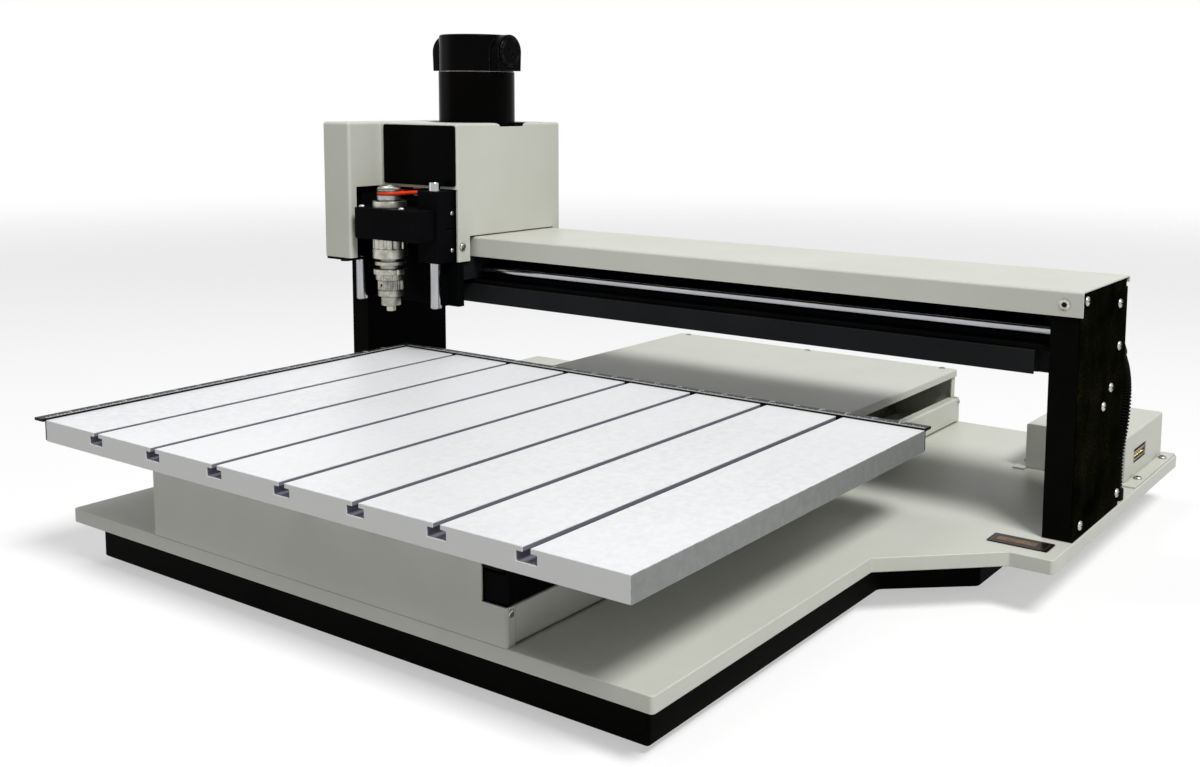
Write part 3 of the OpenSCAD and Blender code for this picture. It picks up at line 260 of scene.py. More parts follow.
def coatGrain():
    # powder coat, moulded plastic and satin metal: fine orange peel under soft clouds
    start, end, place = newGroup("coatGrain", {
        "Tone": (205, 206, 196),
        "Cloud Tone": (198, 199, 188),
        "Grain Scale": 1500.0,
        "Cloud Scale": 9.0,
        "Roughness": 0.45,
        "Roughness Spread": 0.12,
    })
    grain = noiseNode(place, start["Grain Scale"])
    clouds = noiseNode(place, start["Cloud Scale"], detail=4.0, roughness=0.6)
    uneven = mathNode("SUBTRACT", mathNode("ADD", grain, clouds), 1.0)
    swing = times(uneven, start["Roughness Spread"])
    fill(end, {
        "Color": mixTones(contrast(clouds, low=0.32, high=0.68), start["Tone"],
                          start["Cloud Tone"]),
        "Roughness": mathNode("ADD", start["Roughness"], swing, clamp=True),
        "Height": grain,
    })


def wrinkleSkin():
    # wrinkle paint: narrow ridges that catch a brownish light
    start, end, place = newGroup("wrinkleSkin", {
        "Tone": (13, 13, 10),
        "Ridge Tone": (46, 42, 30),
        "Wrinkle Scale": 620.0,
        "Bend Scale": 260.0,
        "Patch Scale": 34.0,
        "Roughness": 0.6,
    })
    drift, polish = (0.002, 0.002, 0.002), 0.12
    bend = noiseNode(place, start["Bend Scale"])
    moved = addNode(place.id_data, "VectorMath", {0: bend, 1: drift, 2: place},
                    operation="MULTIPLY_ADD")
    cells = addNode(place.id_data, "TexVoronoi", {
        "Vector": moved.outputs[0], "Scale": start["Wrinkle Scale"]}, feature="SMOOTH_F1")
    ridge = contrast(cells.outputs["Distance"], low=0.15, high=0.75)
    patches = contrast(noiseNode(place, start["Patch Scale"], detail=3.0), low=0.3, high=0.75)
    fill(end, {
        "Color": mixTones(times(ridge, patches), start["Tone"], start["Ridge Tone"]),
        "Roughness": mathNode("SUBTRACT", start["Roughness"], times(ridge, polish), clamp=True),
        "Height": ridge,
    })


# where the milled plate has its slots and its end faces, in metres from the middle of the
# machine, and how strongly its marks and its painted shade show
bedPlate = {
    "pitch": 0.0762,
    "shift": 0.0035 + 3.5 * 0.0762,
    "slotHalf": 0.0085,
    "slotTop": 0.1303,
    "slotsWithin": 0.28,
    "front": -0.3904,
    "side": 0.3044,
    "lineStretch": (0.012, 1, 1),
    "lineShare": 0.22,
    "slotShadeShare": 0.9,
    "mottleRoughness": 0.3,
}


def milledMottle():
    # milled plate: cloudy crystal mottling, faint cutter lines, painted shade in slots and on
    # front and ends
    start, end, place = newGroup("milledMottle", {
        "Tone": (226, 228, 229),
        "Dark Tone": (196, 199, 203),
        "Slot Shade Tone": (112, 110, 126),
        "Side Shade Tone": (140, 142, 140),
        "Side Shade Dark Tone": (125, 128, 126),
        "Front Shade Tone": (220, 221, 219),
        "Mottle Scale": 150.0,
        "Line Scale": 900.0,
        "Roughness": 0.42,
    })
    tree, b = place.id_data, bedPlate
    mottle = noiseNode(place, start["Mottle Scale"], detail=6.0, roughness=0.68)
    clouds = noiseNode(place, scale=5.0)
    along = addNode(tree, "Mapping", {"Vector": place, "Scale": b["lineStretch"]}).outputs[0]
    lines = noiseNode(along, start["Line Scale"])
    blend = times(contrast(mottle, low=0.34, high=0.66), contrast(clouds, low=0.25, high=0.7))
    blend = mathNode("ADD", blend, times(lines, b["lineShare"]))
    plate = mixTones(blend, start["Tone"], start["Dark Tone"])
    sideShade = mixTones(blend, start["Side Shade Tone"], start["Side Shade Dark Tone"])

    parts = addNode(tree, "SeparateXYZ", {0: place}).outputs
    turn = mathNode("DIVIDE", mathNode("ADD", parts["X"], b["shift"]), b["pitch"])
    off = mathNode("ABSOLUTE", mathNode("SUBTRACT", mathNode("FRACT", turn), 0.5))
    across = mathNode("ABSOLUTE", parts["X"])
    behind = mathNode("GREATER_THAN", parts["Y"], b["front"])
    # painted shade inside the slots, which are recesses
    slotShade = times(mathNode("LESS_THAN", off, b["slotHalf"] / b["pitch"]),
                  mathNode("LESS_THAN", parts["Z"], b["slotTop"]), behind,
                  mathNode("LESS_THAN", across, b["slotsWithin"]), b["slotShadeShare"])
    plate = mixTones(slotShade, plate, start["Slot Shade Tone"])
    # painted shade: the front face and the end faces take darker tones than the top
    plate = mixTones(behind, start["Front Shade Tone"], plate)
    side = mathNode("GREATER_THAN", across, b["side"])
    rough = times(mathNode("SUBTRACT", mottle, 0.5), b["mottleRoughness"])
    fill(end, {
        "Color": mixTones(side, plate, sideShade),
        "Roughness": mathNode("ADD", start["Roughness"], rough, clamp=True),
        "Height": mathNode("ADD", lines, mottle),
    })


def turnedRings():
    # turned metal: fine tool rings round an upright axis, under stains
    start, end, place = newGroup("turnedRings", {
        "Tone": (214, 214, 210),
        "Dark Tone": (120, 122, 116),
        "Ring Scale": 620.0,
        "Stain Scale": 90.0,
        "Stain Roughness": 0.22,
        "Roughness": 0.24,
    })
    rings = addNode(place.id_data, "TexWave", {
        "Vector": place, "Scale": start["Ring Scale"], "Distortion": 1.2},
                    wave_type="BANDS", bands_direction="Z")
    stain = noiseNode(place, start["Stain Scale"], detail=5.0, roughness=0.65)
    dulled = times(stain, start["Stain Roughness"])
    fill(end, {
        "Color": mixTones(contrast(stain, low=0.42, high=0.72), start["Tone"],
                          start["Dark Tone"]),
        "Roughness": mathNode("ADD", start["Roughness"], dulled, clamp=True),
        "Height": rings.outputs["Fac"],
    })


def edgeWear():
    # painted highlight and wear on edges: a lighter tone where the surface turns sharply, broken
    # up by noise
    start, end, place = newGroup("edgeWear", {
        "Color": (205, 206, 196),
        "Worn Highlight Tone": (230, 230, 224),
        "Width": 0.0008,
        "Amount": 0.6,
    }, ["Color"])
    tree = place.id_data
    turned = addNode(tree, "Bevel", {"Radius": start["Width"]}, samples=4)
    flat = addNode(tree, "NewGeometry").outputs["Normal"]
    meet = addNode(tree, "VectorMath", {0: turned.outputs["Normal"], 1: flat},
                   operation="DOT_PRODUCT")
    edge = contrast(meet.outputs["Value"], low=0.995, high=0.9)
    edgeBreakup = noiseNode(place, scale=210.0, detail=5.0, roughness=0.7)
    edgeBreakup = contrast(edgeBreakup, low=0.44, high=0.6)
    mask = times(edge, edgeBreakup, start["Amount"])
    fill(end, {"Color": mixTones(mask, start["Color"], start["Worn Highlight Tone"])})


def creviceGrime():
    # painted shade: a darker tone where two surfaces meet, from an ambient occlusion mask broken
    # up by noise
    start, end, place = newGroup("creviceGrime", {
        "Color": (205, 206, 196),
        "Shade Tone": (40, 38, 32),
        "Reach": 0.003,
        "Amount": 0.8,
    }, ["Color"])
    around = addNode(place.id_data, "AmbientOcclusion", {"Distance": start["Reach"]}, samples=6)
    closed = contrast(around.outputs["AO"], low=0.85, high=0.25)
    patches = noiseNode(place, scale=60.0, detail=4.0, roughness=0.6)
    patches = contrast(patches, low=-0.3, high=0.6)
    mask = times(closed, patches, start["Amount"])
    fill(end, {"Color": mixTones(mask, start["Color"], start["Shade Tone"])})


for makeGroup in (coatGrain, wrinkleSkin, milledMottle, turnedRings, edgeWear, creviceGrime):
    makeGroup()
print("node groups built:", len(groups))


# Finishes: one for each material slot of the record, then a few for small details. Capitals
# name an input of the node group or of the shader, tones run from 0 to 255, lengths are metres.
# the edge layer paints lighter edges, part wear and part painted highlight; the crevice layer
# paints painted shade where surfaces meet
finishSpecs = {
    "cream_paint": {
        "Tone": (206, 207, 197), "Cloud Tone": (200, 201, 190), "Grain Scale": 1300,
        "Roughness": 0.42, "Roughness Spread": 0.1, "Specular IOR Level": 0.35, "bump": 0.00003,
        "edgeWear": {"Worn Highlight Tone": (232, 233, 226), "Width": 0.0009, "Amount": 0.55},
        # painted shade in the seams
        "creviceGrime": {"Shade Tone": (104, 101, 90), "Reach": 0.004, "Amount": 0.6}},
    "black_paint": {
        "Tone": (5, 5, 5), "Cloud Tone": (14, 14, 12), "Grain Scale": 1200, "Roughness": 0.5,
        "Roughness Spread": 0.1, "Specular IOR Level": 0.01, "bump": 0.00003,
        "edgeWear": {"Worn Highlight Tone": (34, 34, 32), "Width": 0.0007, "Amount": 0.4}},
    "wrinkle_paint": {
        "group": "wrinkleSkin", "Tone": (5, 6, 3), "Ridge Tone": (34, 32, 21),
        "Specular IOR Level": 0.0, "bump": 0.00012},
    "black_anodised": {
        "Tone": (6, 7, 8), "Cloud Tone": (14, 14, 16), "Grain Scale": 2200, "Roughness": 0.42,
        "Roughness Spread": 0.16, "Specular IOR Level": 0.01, "bump": 0.00001,
        "edgeWear": {"Worn Highlight Tone": (52, 53, 56), "Width": 0.0006, "Amount": 0.4}},
    "dark_channel": {
        "Tone": (23, 24, 25), "Cloud Tone": (32, 33, 34), "Roughness": 0.5,
        "Specular IOR Level": 0.05, "bump": 0.00002},
    "milled_aluminium": {
        "group": "milledMottle", "Tone": (244, 245, 246), "Dark Tone": (227, 229, 231),
        "Metallic": 0.08, "Specular IOR Level": 0.3, "bump": 0.00001,
        "edgeWear": {"Worn Highlight Tone": (248, 249, 250), "Width": 0.0008, "Amount": 0.7}},
    "bright_alloy": {
        "group": "turnedRings", "Tone": (196, 194, 184), "Dark Tone": (130, 129, 120),
        "Metallic": 1.0, "Specular Tint": (96, 95, 88), "bump": 0.00002,
        # painted shade in the gaps between the turned tiers
        "creviceGrime": {"Shade Tone": (26, 25, 20), "Reach": 0.0035, "Amount": 1.0}},
    "grey_alloy": {
        "Tone": (30, 31, 33), "Cloud Tone": (21, 22, 24), "Specular IOR Level": 0.05,
        "bump": 0.00002},
    "ground_steel": {
        "group": "turnedRings", "Tone": (180, 180, 176), "Dark Tone": (112, 113, 110),
        "Ring Scale": 300, "Metallic": 1.0, "Specular Tint": (100, 100, 98), "bump": 0.00001},
    "rail_chrome": {
        "Tone": (180, 181, 183), "Cloud Tone": (160, 162, 165), "Grain Scale": 500,
        "Roughness": 0.14, "Roughness Spread": 0.06, "Metallic": 1.0,
        "Specular Tint": (104, 106, 112), "bump": 0.000004},
    "screw_steel": {
        "Tone": (206, 205, 200), "Cloud Tone": (150, 148, 140), "Cloud Scale": 300,
        "Roughness": 0.22, "Metallic": 1.0, "Specular Tint": (90, 89, 82), "bump": 0.000006,
        # painted shade in the screw recesses
        "creviceGrime": {"Shade Tone": (30, 29, 24), "Reach": 0.0012, "Amount": 0.9}},
    "plug_steel": {
        "Tone": (176, 176, 168), "Cloud Tone": (130, 130, 122), "Cloud Scale": 200,
        "Roughness": 0.35, "Metallic": 1.0, "bump": 0.000006},
    "nut_brass": {
        "group": "turnedRings", "Tone": (206, 176, 104), "Dark Tone": (150, 118, 60),
        "Metallic": 1.0, "bump": 0.00001},
    "foot_rubber": {
        "Tone": (15, 15, 15), "Cloud Tone": (26, 26, 25), "Grain Scale": 900, "Roughness": 0.8,
        "Specular IOR Level": 0.04, "bump": 0.00008},
    "belt_urethane": {
        "Tone": (238, 66, 26), "Cloud Tone": (222, 52, 18), "Cloud Scale": 60,
        "Roughness": 0.32, "Specular IOR Level": 0.3, "bump": 0.00001},
    "loom_plastic": {
        "Tone": (4, 5, 5), "Cloud Tone": (9, 10, 10), "Specular IOR Level": 0.02,
        "bump": 0.00002},
    "label_plastic": {
        "Tone": (12, 10, 9), "Cloud Tone": (20, 17, 14), "Roughness": 0.3,
        "Specular IOR Level": 0.08, "bump": 0.00001},
    "scale_black": {
        "Tone": (9, 9, 10), "Cloud Tone": (20, 21, 22), "Grain Scale": 1800, "Cloud Scale": 80,
        "Roughness": 0.38, "Specular IOR Level": 0.06, "bump": 0.00001,
        "edgeWear": {"Worn Highlight Tone": (110, 112, 114), "Width": 0.0006, "Amount": 0.4}},
    "panel_gloss": {
        "Tone": (5, 7, 5), "Cloud Tone": (10, 12, 10), "Grain Scale": 700, "Roughness": 0.16,
        "Roughness Spread": 0.05, "Specular IOR Level": 0.01, "bump": 0.000004,
        "edgeWear": {"Worn Highlight Tone": (70, 70, 72), "Width": 0.0006, "Amount": 0.7}},
    "motor_gloss": {
        "Tone": (3, 3, 3), "Cloud Tone": (9, 7, 5), "Grain Scale": 420, "Roughness": 0.2,
        "Roughness Spread": 0.08, "Specular IOR Level": 0.015, "bump": 0.00001,
        "edgeWear": {"Worn Highlight Tone": (96, 96, 98), "Width": 0.0008, "Amount": 0.5}},
    "cap_plastic": {
        "Tone": (4, 4, 5), "Cloud Tone": (10, 10, 10), "Grain Scale": 600, "Roughness": 0.22,
        "Roughness Spread": 0.08, "Specular IOR Level": 0.02, "bump": 0.00002,
        "edgeWear": {"Worn Highlight Tone": (84, 84, 86), "Width": 0.0008, "Amount": 0.6}},
    "whiteInk": {
        "Tone": (236, 238, 236), "Cloud Tone": (212, 214, 212), "Cloud Scale": 300,
        "Roughness": 0.5, "bump": 0.000004},
    "goldPins": {
        "Tone": (232, 214, 160), "Cloud Tone": (200, 160, 86), "Cloud Scale": 400,
        "Roughness": 0.25, "Metallic": 0.5, "bump": 0.000004},
    "bronzeField": {
        "Tone": (118, 88, 50), "Cloud Tone": (74, 52, 28), "Cloud Scale": 260, "Roughness": 0.4,
        "Metallic": 0.3, "Specular IOR Level": 0.2, "bump": 0.000006},
}


def makeFinish(name, spec):
    material, tree, shader = nodeMaterial(name)
    surface = addNode(tree, "Group", node_tree=groups[spec.get("group", "coatGrain")])
    for title, value in toned(spec).items():
        if title in surface.inputs:
            fill(surface, {title: value})
        elif title in shader.inputs:
            fill(shader, {title: value})
    colour = surface.outputs["Color"]
    # lighter edges, part wear and part painted highlight, then painted shade where surfaces meet
    for layer in ("edgeWear", "creviceGrime"):
        if layer in spec:
            covered = addNode(tree, "Group", node_tree=groups[layer])
            fill(covered, {"Color": colour, **toned(spec[layer])})
            colour = covered.outputs["Color"]
    bump = addNode(tree, "Bump", {"Distance": spec["bump"], "Height": surface.outputs["Height"]})
    fill(shader, {"Base Color": colour, "Roughness": surface.outputs["Roughness"],
                  "Normal": bump.outputs["Normal"]})
    return material


finishes = {name: makeFinish(name, spec) for name, spec in finishSpecs.items()}
print("finishes mixed:", len(finishes))


# Modelling helpers: every length in them is in millimetres, in the frame of the machine
def addBox(bm, x, y, z):
    corners = [bm.verts.new((a, b, c)) for c in z for b in y for a in x]
    for face in ((0, 2, 3, 1), (4, 5, 7, 6), (0, 1, 5, 4),
                 (2, 6, 7, 3), (0, 4, 6, 2), (1, 3, 7, 5)):
        bm.faces.new([corners[i] for i in face])


def boxes(*spans):
    bm = bmesh.new()
    for x, y, z in spans:
        addBox(bm, x, y, z)
    return bm


def mirrorSpan(side, a, b):
    return sorted((side * a, side * b))


def addRings(bm, rings, closed=False):
    # walls between rings of vertices; a ring of one vertex is a tip
    count = max(len(ring) for ring in rings)
    for low, high in list(zip(rings, rings[1:])) + ([(rings[-1], rings[0])] if closed else []):
        for k in range(count):
            m = (k + 1) % count
            quad = (low[k % len(low)], low[m % len(low)], high[m % len(high)],
                    high[k % len(high)])
            corners = list(dict.fromkeys(quad))
            if len(corners) > 2:
                bm.faces.new(corners)
    if not closed and len(rings[0]) > 1:
        bm.faces.new(rings[0][::-1])
        bm.faces.new(rings[-1])


def addProfile(bm, outline, axis, ends):
    # an outline in the other two axes, in their order, pushed along this axis
    def at(point, along):
        spot = list(point)
        spot.insert("xyz".index(axis), along)
        return bm.verts.new(spot)
    addRings(bm, [[at(point, along) for point in outline] for along in ends])


def towards(centre, direction):
    turn = Vector(direction).to_track_quat("Z", "Y").to_matrix().to_4x4()
    return Matrix.Translation(centre) @ turn


def addLathe(bm, profile, centre=(0, 0, 0), direction=(0, 0, 1), segments=64, closed=False,
             ripple=None):
    # a profile of (radius, height) pairs turned round an axis
    place = towards(centre, direction)
    rings = []
    for radius, height in profile:
        ring = []
        for k in range(segments if radius > 1e-6 else 1):
            angle = 2 * math.pi * k / segments
            r = radius + (ripple(radius, height, k) if ripple else 0)
            spot = Vector((r * math.cos(angle), r * math.sin(angle), height))
            ring.append(bm.verts.new(place @ spot))
        rings.append(ring)
    addRings(bm, rings, closed)


def addDisc(bm, radius, ends, centre=(0, 0, 0), direction=(0, 0, 1), segments=64, chamfer=0):
    low, high = ends
    side = [(radius, low), (radius, high)]
    if chamfer:
        side = [(radius - chamfer, low), (radius, low + chamfer), (radius, high - chamfer),
                (radius - chamfer, high)]
    addLathe(bm, [(0, low), *side, (0, high)], centre, direction, segments)


def addTube(bm, points, radii, sides, closed=False, start=(1, 0, 0)):
    # a tube along a path, kept from twisting; radii holds one radius for each point
    points = [Vector(p) for p in points]
    count = len(points)
    side = Vector(start)
    rings = []
    for i, point in enumerate(points):
        before = points[i - 1] if i or closed else point
        after = points[(i + 1) % count] if i < count - 1 or closed else point
        along = (after - before).normalized()
        side = (side - along * side.dot(along)).normalized()
        other = along.cross(side)
        rings.append([bm.verts.new(point + radii[i] * (
            side * math.cos(2 * math.pi * k / sides) + other * math.sin(2 * math.pi * k / sides)))
            for k in range(sides)])
    addRings(bm, rings, closed)


def foldedOutline(path, bend, steps=5):
    # the cross-section of a folded sheet whose bends all turn the same way
    sheet = shared["sheet"]
    path = [Vector(p) for p in path]
    middle = sum(path, Vector((0, 0))) / len(path)
    outer, inner = [], []
    for i, p in enumerate(path):
        if i in (0, len(path) - 1):
            along = (path[1] - p) if i == 0 else (p - path[-2])
            across = Vector((-along.y, along.x)).normalized()
            if across.dot(middle - p) < 0:
                across = -across
            outer.append(p)
            inner.append(p + across * sheet)
            continue
        a, b = (path[i - 1] - p).normalized(), (path[i + 1] - p).normalized()
        halfAngle = a.angle(b) / 2
        centre = p + (a + b).normalized() * bend / math.sin(halfAngle)
        reach = bend / math.tan(halfAngle)
        for k in range(steps + 1):
            spoke = (p + a * reach - centre).normalized().slerp(
                (p + b * reach - centre).normalized(), k / steps)
            outer.append(centre + spoke * bend)
            inner.append(centre + spoke * (bend - sheet))
    return [tuple(p) for p in outer + inner[::-1]]


def roundEdges(bm, wanted, radius, steps=4):
    edges = []
    for edge in bm.edges:
        a, b = (v.co for v in edge.verts)
        if wanted((a + b) / 2, (b - a).normalized()):
            edges.append(edge)
    bmesh.ops.bevel(bm, geom=edges, offset=radius, segments=steps, profile=0.5,
                    affect="EDGES", clamp_overlap=False)


def running(axis):
    # picks the edges that run along this axis
    return lambda mid, along: abs(along["xyz".index(axis)]) > 0.9


upright = running("z")


def looseObject(bm):
    bmesh.ops.recalc_face_normals(bm, faces=bm.faces)
    mesh = bpy.data.meshes.new("workpiece")
    bm.to_mesh(mesh)
    bm.free()
    return placed("workpiece", mesh)


def takeMesh(thing):
    # the mesh of a helper object as it looks in the end; the object goes
    graph = bpy.context.evaluated_depsgraph_get()
    mesh = bpy.data.meshes.new_from_object(thing.evaluated_get(graph))
    bm = bmesh.new()
    bm.from_mesh(mesh)
    bpy.data.objects.remove(thing)
    bpy.data.meshes.remove(mesh)
    return bm


def cutAway(bm, cutter):
    # what is left of one closed mesh after another is cut out of it
    body, tool = looseObject(bm), looseObject(cutter)
    step = body.modifiers.new("cut", "BOOLEAN")
    step.operation = "DIFFERENCE"
    step.solver = "EXACT"
    step.use_self = True
    step.object = tool
    spent = body.data, tool.data
    left = takeMesh(body)
    bpy.data.objects.remove(tool)
    for mesh in spent:
        bpy.data.meshes.remove(mesh)
    return left


def merged(bm, other):
    # copies another mesh into this one
    mesh = bpy.data.meshes.new("other")
    other.to_mesh(mesh)
    other.free()
    bm.from_mesh(mesh)
    bpy.data.meshes.remove(mesh)


def fused(bm):
    # overlapping closed shells made into one, by a cut that meets nothing
    return cutAway(bm, boxes(((-1, 0), (-1, 0), (5000, 5001))))


softening = {"weld": 0.000005, "flatAngle": 0.5, "segments": 2}


def soften(thing, width, sharp=40):
    # small bevels on the sharp edges, with the flat faces kept flat
    weld = thing.modifiers.new("weld", "WELD")
    weld.merge_threshold = softening["weld"]
    flat = thing.modifiers.new("flat", "DECIMATE")
    flat.decimate_type = "DISSOLVE"
    flat.angle_limit = math.radians(softening["flatAngle"])
    bevel = thing.modifiers.new("bevel", "BEVEL")
    bevel.width = width / 1000
    bevel.segments = softening["segments"]
    bevel.limit_method = "ANGLE"
    bevel.angle_limit = math.radians(sharp)
    bevel.use_clamp_overlap = False
    bevel.miter_outer = "MITER_ARC"
    thing.modifiers.new("shade", "WEIGHTED_NORMAL").keep_sharp = False


def showPiece(name, bm, body, slotName, replaced=(), softness=0.0, sharp=35, extra=(),
              lift=(0, 0, 0)):
    # a finished piece: its mesh, its finish, the body that it rides on, what it stands for
    bmesh.ops.recalc_face_normals(bm, faces=bm.faces)
    bmesh.ops.translate(bm, vec=lift, verts=bm.verts)
    bmesh.ops.scale(bm, vec=(0.001, 0.001, 0.001), verts=bm.verts)
    mesh = bpy.data.meshes.new(name)
    bm.to_mesh(mesh)
    bm.free()
    mesh.shade_smooth()
    piece = placed(name, mesh)
    for finishName in (slotName, *extra):
        mesh.materials.append(finishes[finishName])
    if softness:
        soften(piece, softness, sharp)
    else:
        mesh.set_sharp_from_angle(angle=math.radians(sharp))
    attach(piece, body)
    if replaced:
        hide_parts(*replaced)


def paintNewest(bm, older, index):
    # gives the faces that are not among the older ones the finish with this number
    for face in set(bm.faces) - older:
        face.material_index = index


def cadBoxOf(name):
    low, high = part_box(name)
    return low * 1000, high * 1000


# Sizes and places that several pieces share; a cutting tool reaches this far over what it
# cuts, and pieces that only touch overlap by a hair
shared = {"sheet": 1.5, "deck": 50.0, "headX": -304.75, "headHalf": 77.25, "spindleY": -5.4,
          "over": 1, "hair": 0.1}
headAt = (shared["headX"], 0, 0)
spindleAt = (shared["headX"], shared["spindleY"], 0)


# Carried-over solids: their finishes, and the softness of their edges in millimetres
edgeSoftness = {
    "base_plate": 0.9, "rubber_feet": 1.5, "corner_seal": 0.6, "bed_rails": 0.8,
    "screw_bearings": 0.6, "bed_motor": 1.2, "bed_motor_pulley": 0.3, "bed_carriage": 0.6,
    "bed_bearing_blocks": 0.8, "bed_nut": 0.5, "bed_plate": 0.35, "column_left": 0.5,
    "column_right": 0.5, "column_skin_left": 0.5, "column_skin_right": 0.5,
    "bridge_beam": 0.5, "bridge_channel": 0.5, "bridge_motor": 1.0, "loom_glands": 0.8,
    "head_plate": 0.6, "head_bearing_blocks": 0.6, "head_nut": 0.4, "lift_motor": 1.0,
    "pointer_lamp": 0.4, "lift_bearing_blocks": 0.7, "spindle_clamp": 0.8,
    "lift_frame": 0.6, "nose_tube": 0.5, "motor_housing": 1.0, "spindle_quill": 0.25,
}
for part in record["subparts"]:
    solid = nodes[part["node"]]
    for holder in solid.material_slots:
        holder.material = finishes[part["material_slot"]]
    solid.data.shade_smooth()
    if part["node"] in edgeSoftness:
        soften(solid, edgeSoftness[part["node"]])
print("solids finished:", len(nodes))


# Head cover: a folded sheet box, with a wing at its left and a notch for the bridge
headCover = {
    "bend": 3.2,
    "innerBend": 1.5,
    "wingRight": -36.25,
    "wingFront": -28.0,
    "front": 17.2,
    "back": 183.5,
    "bottom": 229.2,
    "top": 374.5,
    "panelBottom": 305.5,
    "notchTop": 255.7,
    "notch": (35.7, 171.0),
    "wingReturn": 9.6,
    "wingGap": 0.2,
    "motorHole": (26.5, 101.8, 54.0),
    "holeDepth": 4.0,
    "screw": (24.0, 245.5, 2.2),
}


def headShell(inset, bottom, top, bend):
    c, half = headCover, shared["headHalf"] - inset
    wing, front = c["wingRight"] - inset, c["front"] + inset
    near, back = c["wingFront"] + inset, c["back"] - inset
    bm = bmesh.new()
    addProfile(bm, [(-half, near), (wing, near), (wing, front), (half, front), (half, back),
                    (-half, back)], "z", (bottom, top))

    def inCorner(mid, reach):
        return abs(mid.x - wing) < reach and abs(mid.y - front) < reach
    roundEdges(bm, lambda mid, along: upright(mid, along) and inCorner(mid, 0.1),
               c["innerBend"], 3)
    roundEdges(bm, lambda mid, along: mid.z > top - 0.1 or (
        upright(mid, along) and not inCorner(mid, 2)), bend, 5)
    return bm


def buildHeadCover():
    c, sheet, half, over = (headCover, *(shared[k] for k in ("sheet", "headHalf", "over")))
    bm = headShell(0, c["bottom"], c["top"], c["bend"])
    bm = cutAway(bm, headShell(sheet, c["bottom"] - over, c["top"] - sheet, c["bend"] - sheet))
    z, wing = (c["bottom"] - over, c["panelBottom"]), c["wingRight"]
    left = wing - sheet - c["wingGap"]
    tool = boxes(((left, half + over), (c["front"] - over, c["front"] + sheet), z),
                 ((left, wing + over), (c["wingFront"] + c["wingReturn"], c["front"]), z),
                 ((-half - over, half + over), c["notch"], (z[0], c["notchTop"])))
    x, y, radius = c["motorHole"]
    ends = (c["top"] - c["holeDepth"], c["top"] + over)
    addDisc(tool, radius, ends, (x, y, 0), segments=96)
    y, z, radius = c["screw"]
    addDisc(tool, radius, (-half - over, half + over), (0, y, z), (1, 0, 0), 24)
    showPiece("headCover", cutAway(bm, tool), "head", "cream_paint", ["head_cover"], 0.25,
              lift=headAt)


buildHeadCover()
print("head cover folded")


# Name panel: a bare gloss plate with rounded corners and a fine bevel
namePanel = {"corner": 3.0, "edge": 0.35}


def buildNamePanel():
    bm = boxes(zip(*cadBoxOf("name_panel")))
    roundEdges(bm, running("y"), namePanel["corner"], 5)
    showPiece("namePanel", bm, "head", "panel_gloss", ["name_panel"], namePanel["edge"])


buildNamePanel()


# Bridge cover: one sheet folded over the beam and the columns
bridgeCover = {"bend": 2.4, "lip": 21.0, "rearLip": 6.0, "screwX": 408.0, "screwZ": 243.1,
               "countersink": [(0, -2), (5.0, -2), (5.0, -0.2), (2.6, 2), (0, 2)]}


def lipScrewPlaces():
    return [(side * bridgeCover["screwX"], cadBoxOf("bridge_cover")[0].y, bridgeCover["screwZ"])
            for side in (-1, 1)]


def buildBridgeCover():
    low, high = cadBoxOf("bridge_cover")
    path = [(low.y, high.z - bridgeCover["lip"]), (low.y, high.z), (high.y, high.z),
            (high.y, high.z - bridgeCover["rearLip"])]
    bm, tool = bmesh.new(), bmesh.new()
    addProfile(bm, foldedOutline(path, bridgeCover["bend"]), "x", (low.x, high.x))
    for spot in lipScrewPlaces():
        addLathe(tool, bridgeCover["countersink"], spot, (0, 1, 0), 32)
    showPiece("bridgeCover", cutAway(bm, tool), "root", "cream_paint", ["bridge_cover"], 0.3)


buildBridgeCover()
print("bridge covered")


# Bed housing: folded ends, two side channels and a loose cover, with the ribs under it painted
# black as painted shade
housing = {
    "bend": 2.2,
    "halfWidth": 190.0,
    "coverHalf": 185.5,
    "rearInset": 2.0,
    "sideTop": 77.0,
    "coverTop": 108.0,
    "coverGap": 0.2,
    "coverLip": 8.0,
    "openX": 168.0,
    "sealLength": 18.0,
    "end": 370.0,
    "return": 8.0,
    "sideLip": 10.0,
    "screwX": (-170, 0, 170),
    "screwY": 365.0,
    "endScrew": (366.0, 72.5),
    "rib": (146.5, 1.0, 12.0),  # its x, half its thickness, its distance from the rear
    "crossRib": (158.0, 10.0, 5.0),  # half its length, its distance from the rear, its depth
}


def housingEnd(upper, top, sign):
    # drawn for the front; the sign turns it for the rear
    h, sheet, deck, over = housing, shared["sheet"], shared["deck"], shared["over"]
    w, front = h["halfWidth"], -h["end"]
    past = front + h["return"] + over
    bm = boxes(((-w, w), (front, front + h["return"]), (deck, top)))
    roundEdges(bm, lambda mid, along: upright(mid, along) and mid.y < front + 1, h["bend"])
    inner = boxes(((-w + sheet, w - sheet), (front + sheet, past), (deck + sheet, top + over)))
    roundEdges(inner, lambda mid, along: upright(mid, along) and mid.y < front + 2,
               h["bend"] - sheet, 3)
    z, y = (h["sideTop"], top + over), (front - over, front + sheet + shared["hair"])
    cuts = [((-w - over, w + over), (front + sheet, past), z)]
    if upper[0] > -w:
        cuts.append(((-w - over, upper[0]), y, z))
    if upper[1] < w:
        cuts.append(((upper[1], w + over), y, z))
    bm = cutAway(cutAway(bm, inner), boxes(*cuts))
    if sign < 0:
        bmesh.ops.scale(bm, vec=(1, -1, 1), verts=bm.verts)
    return bm


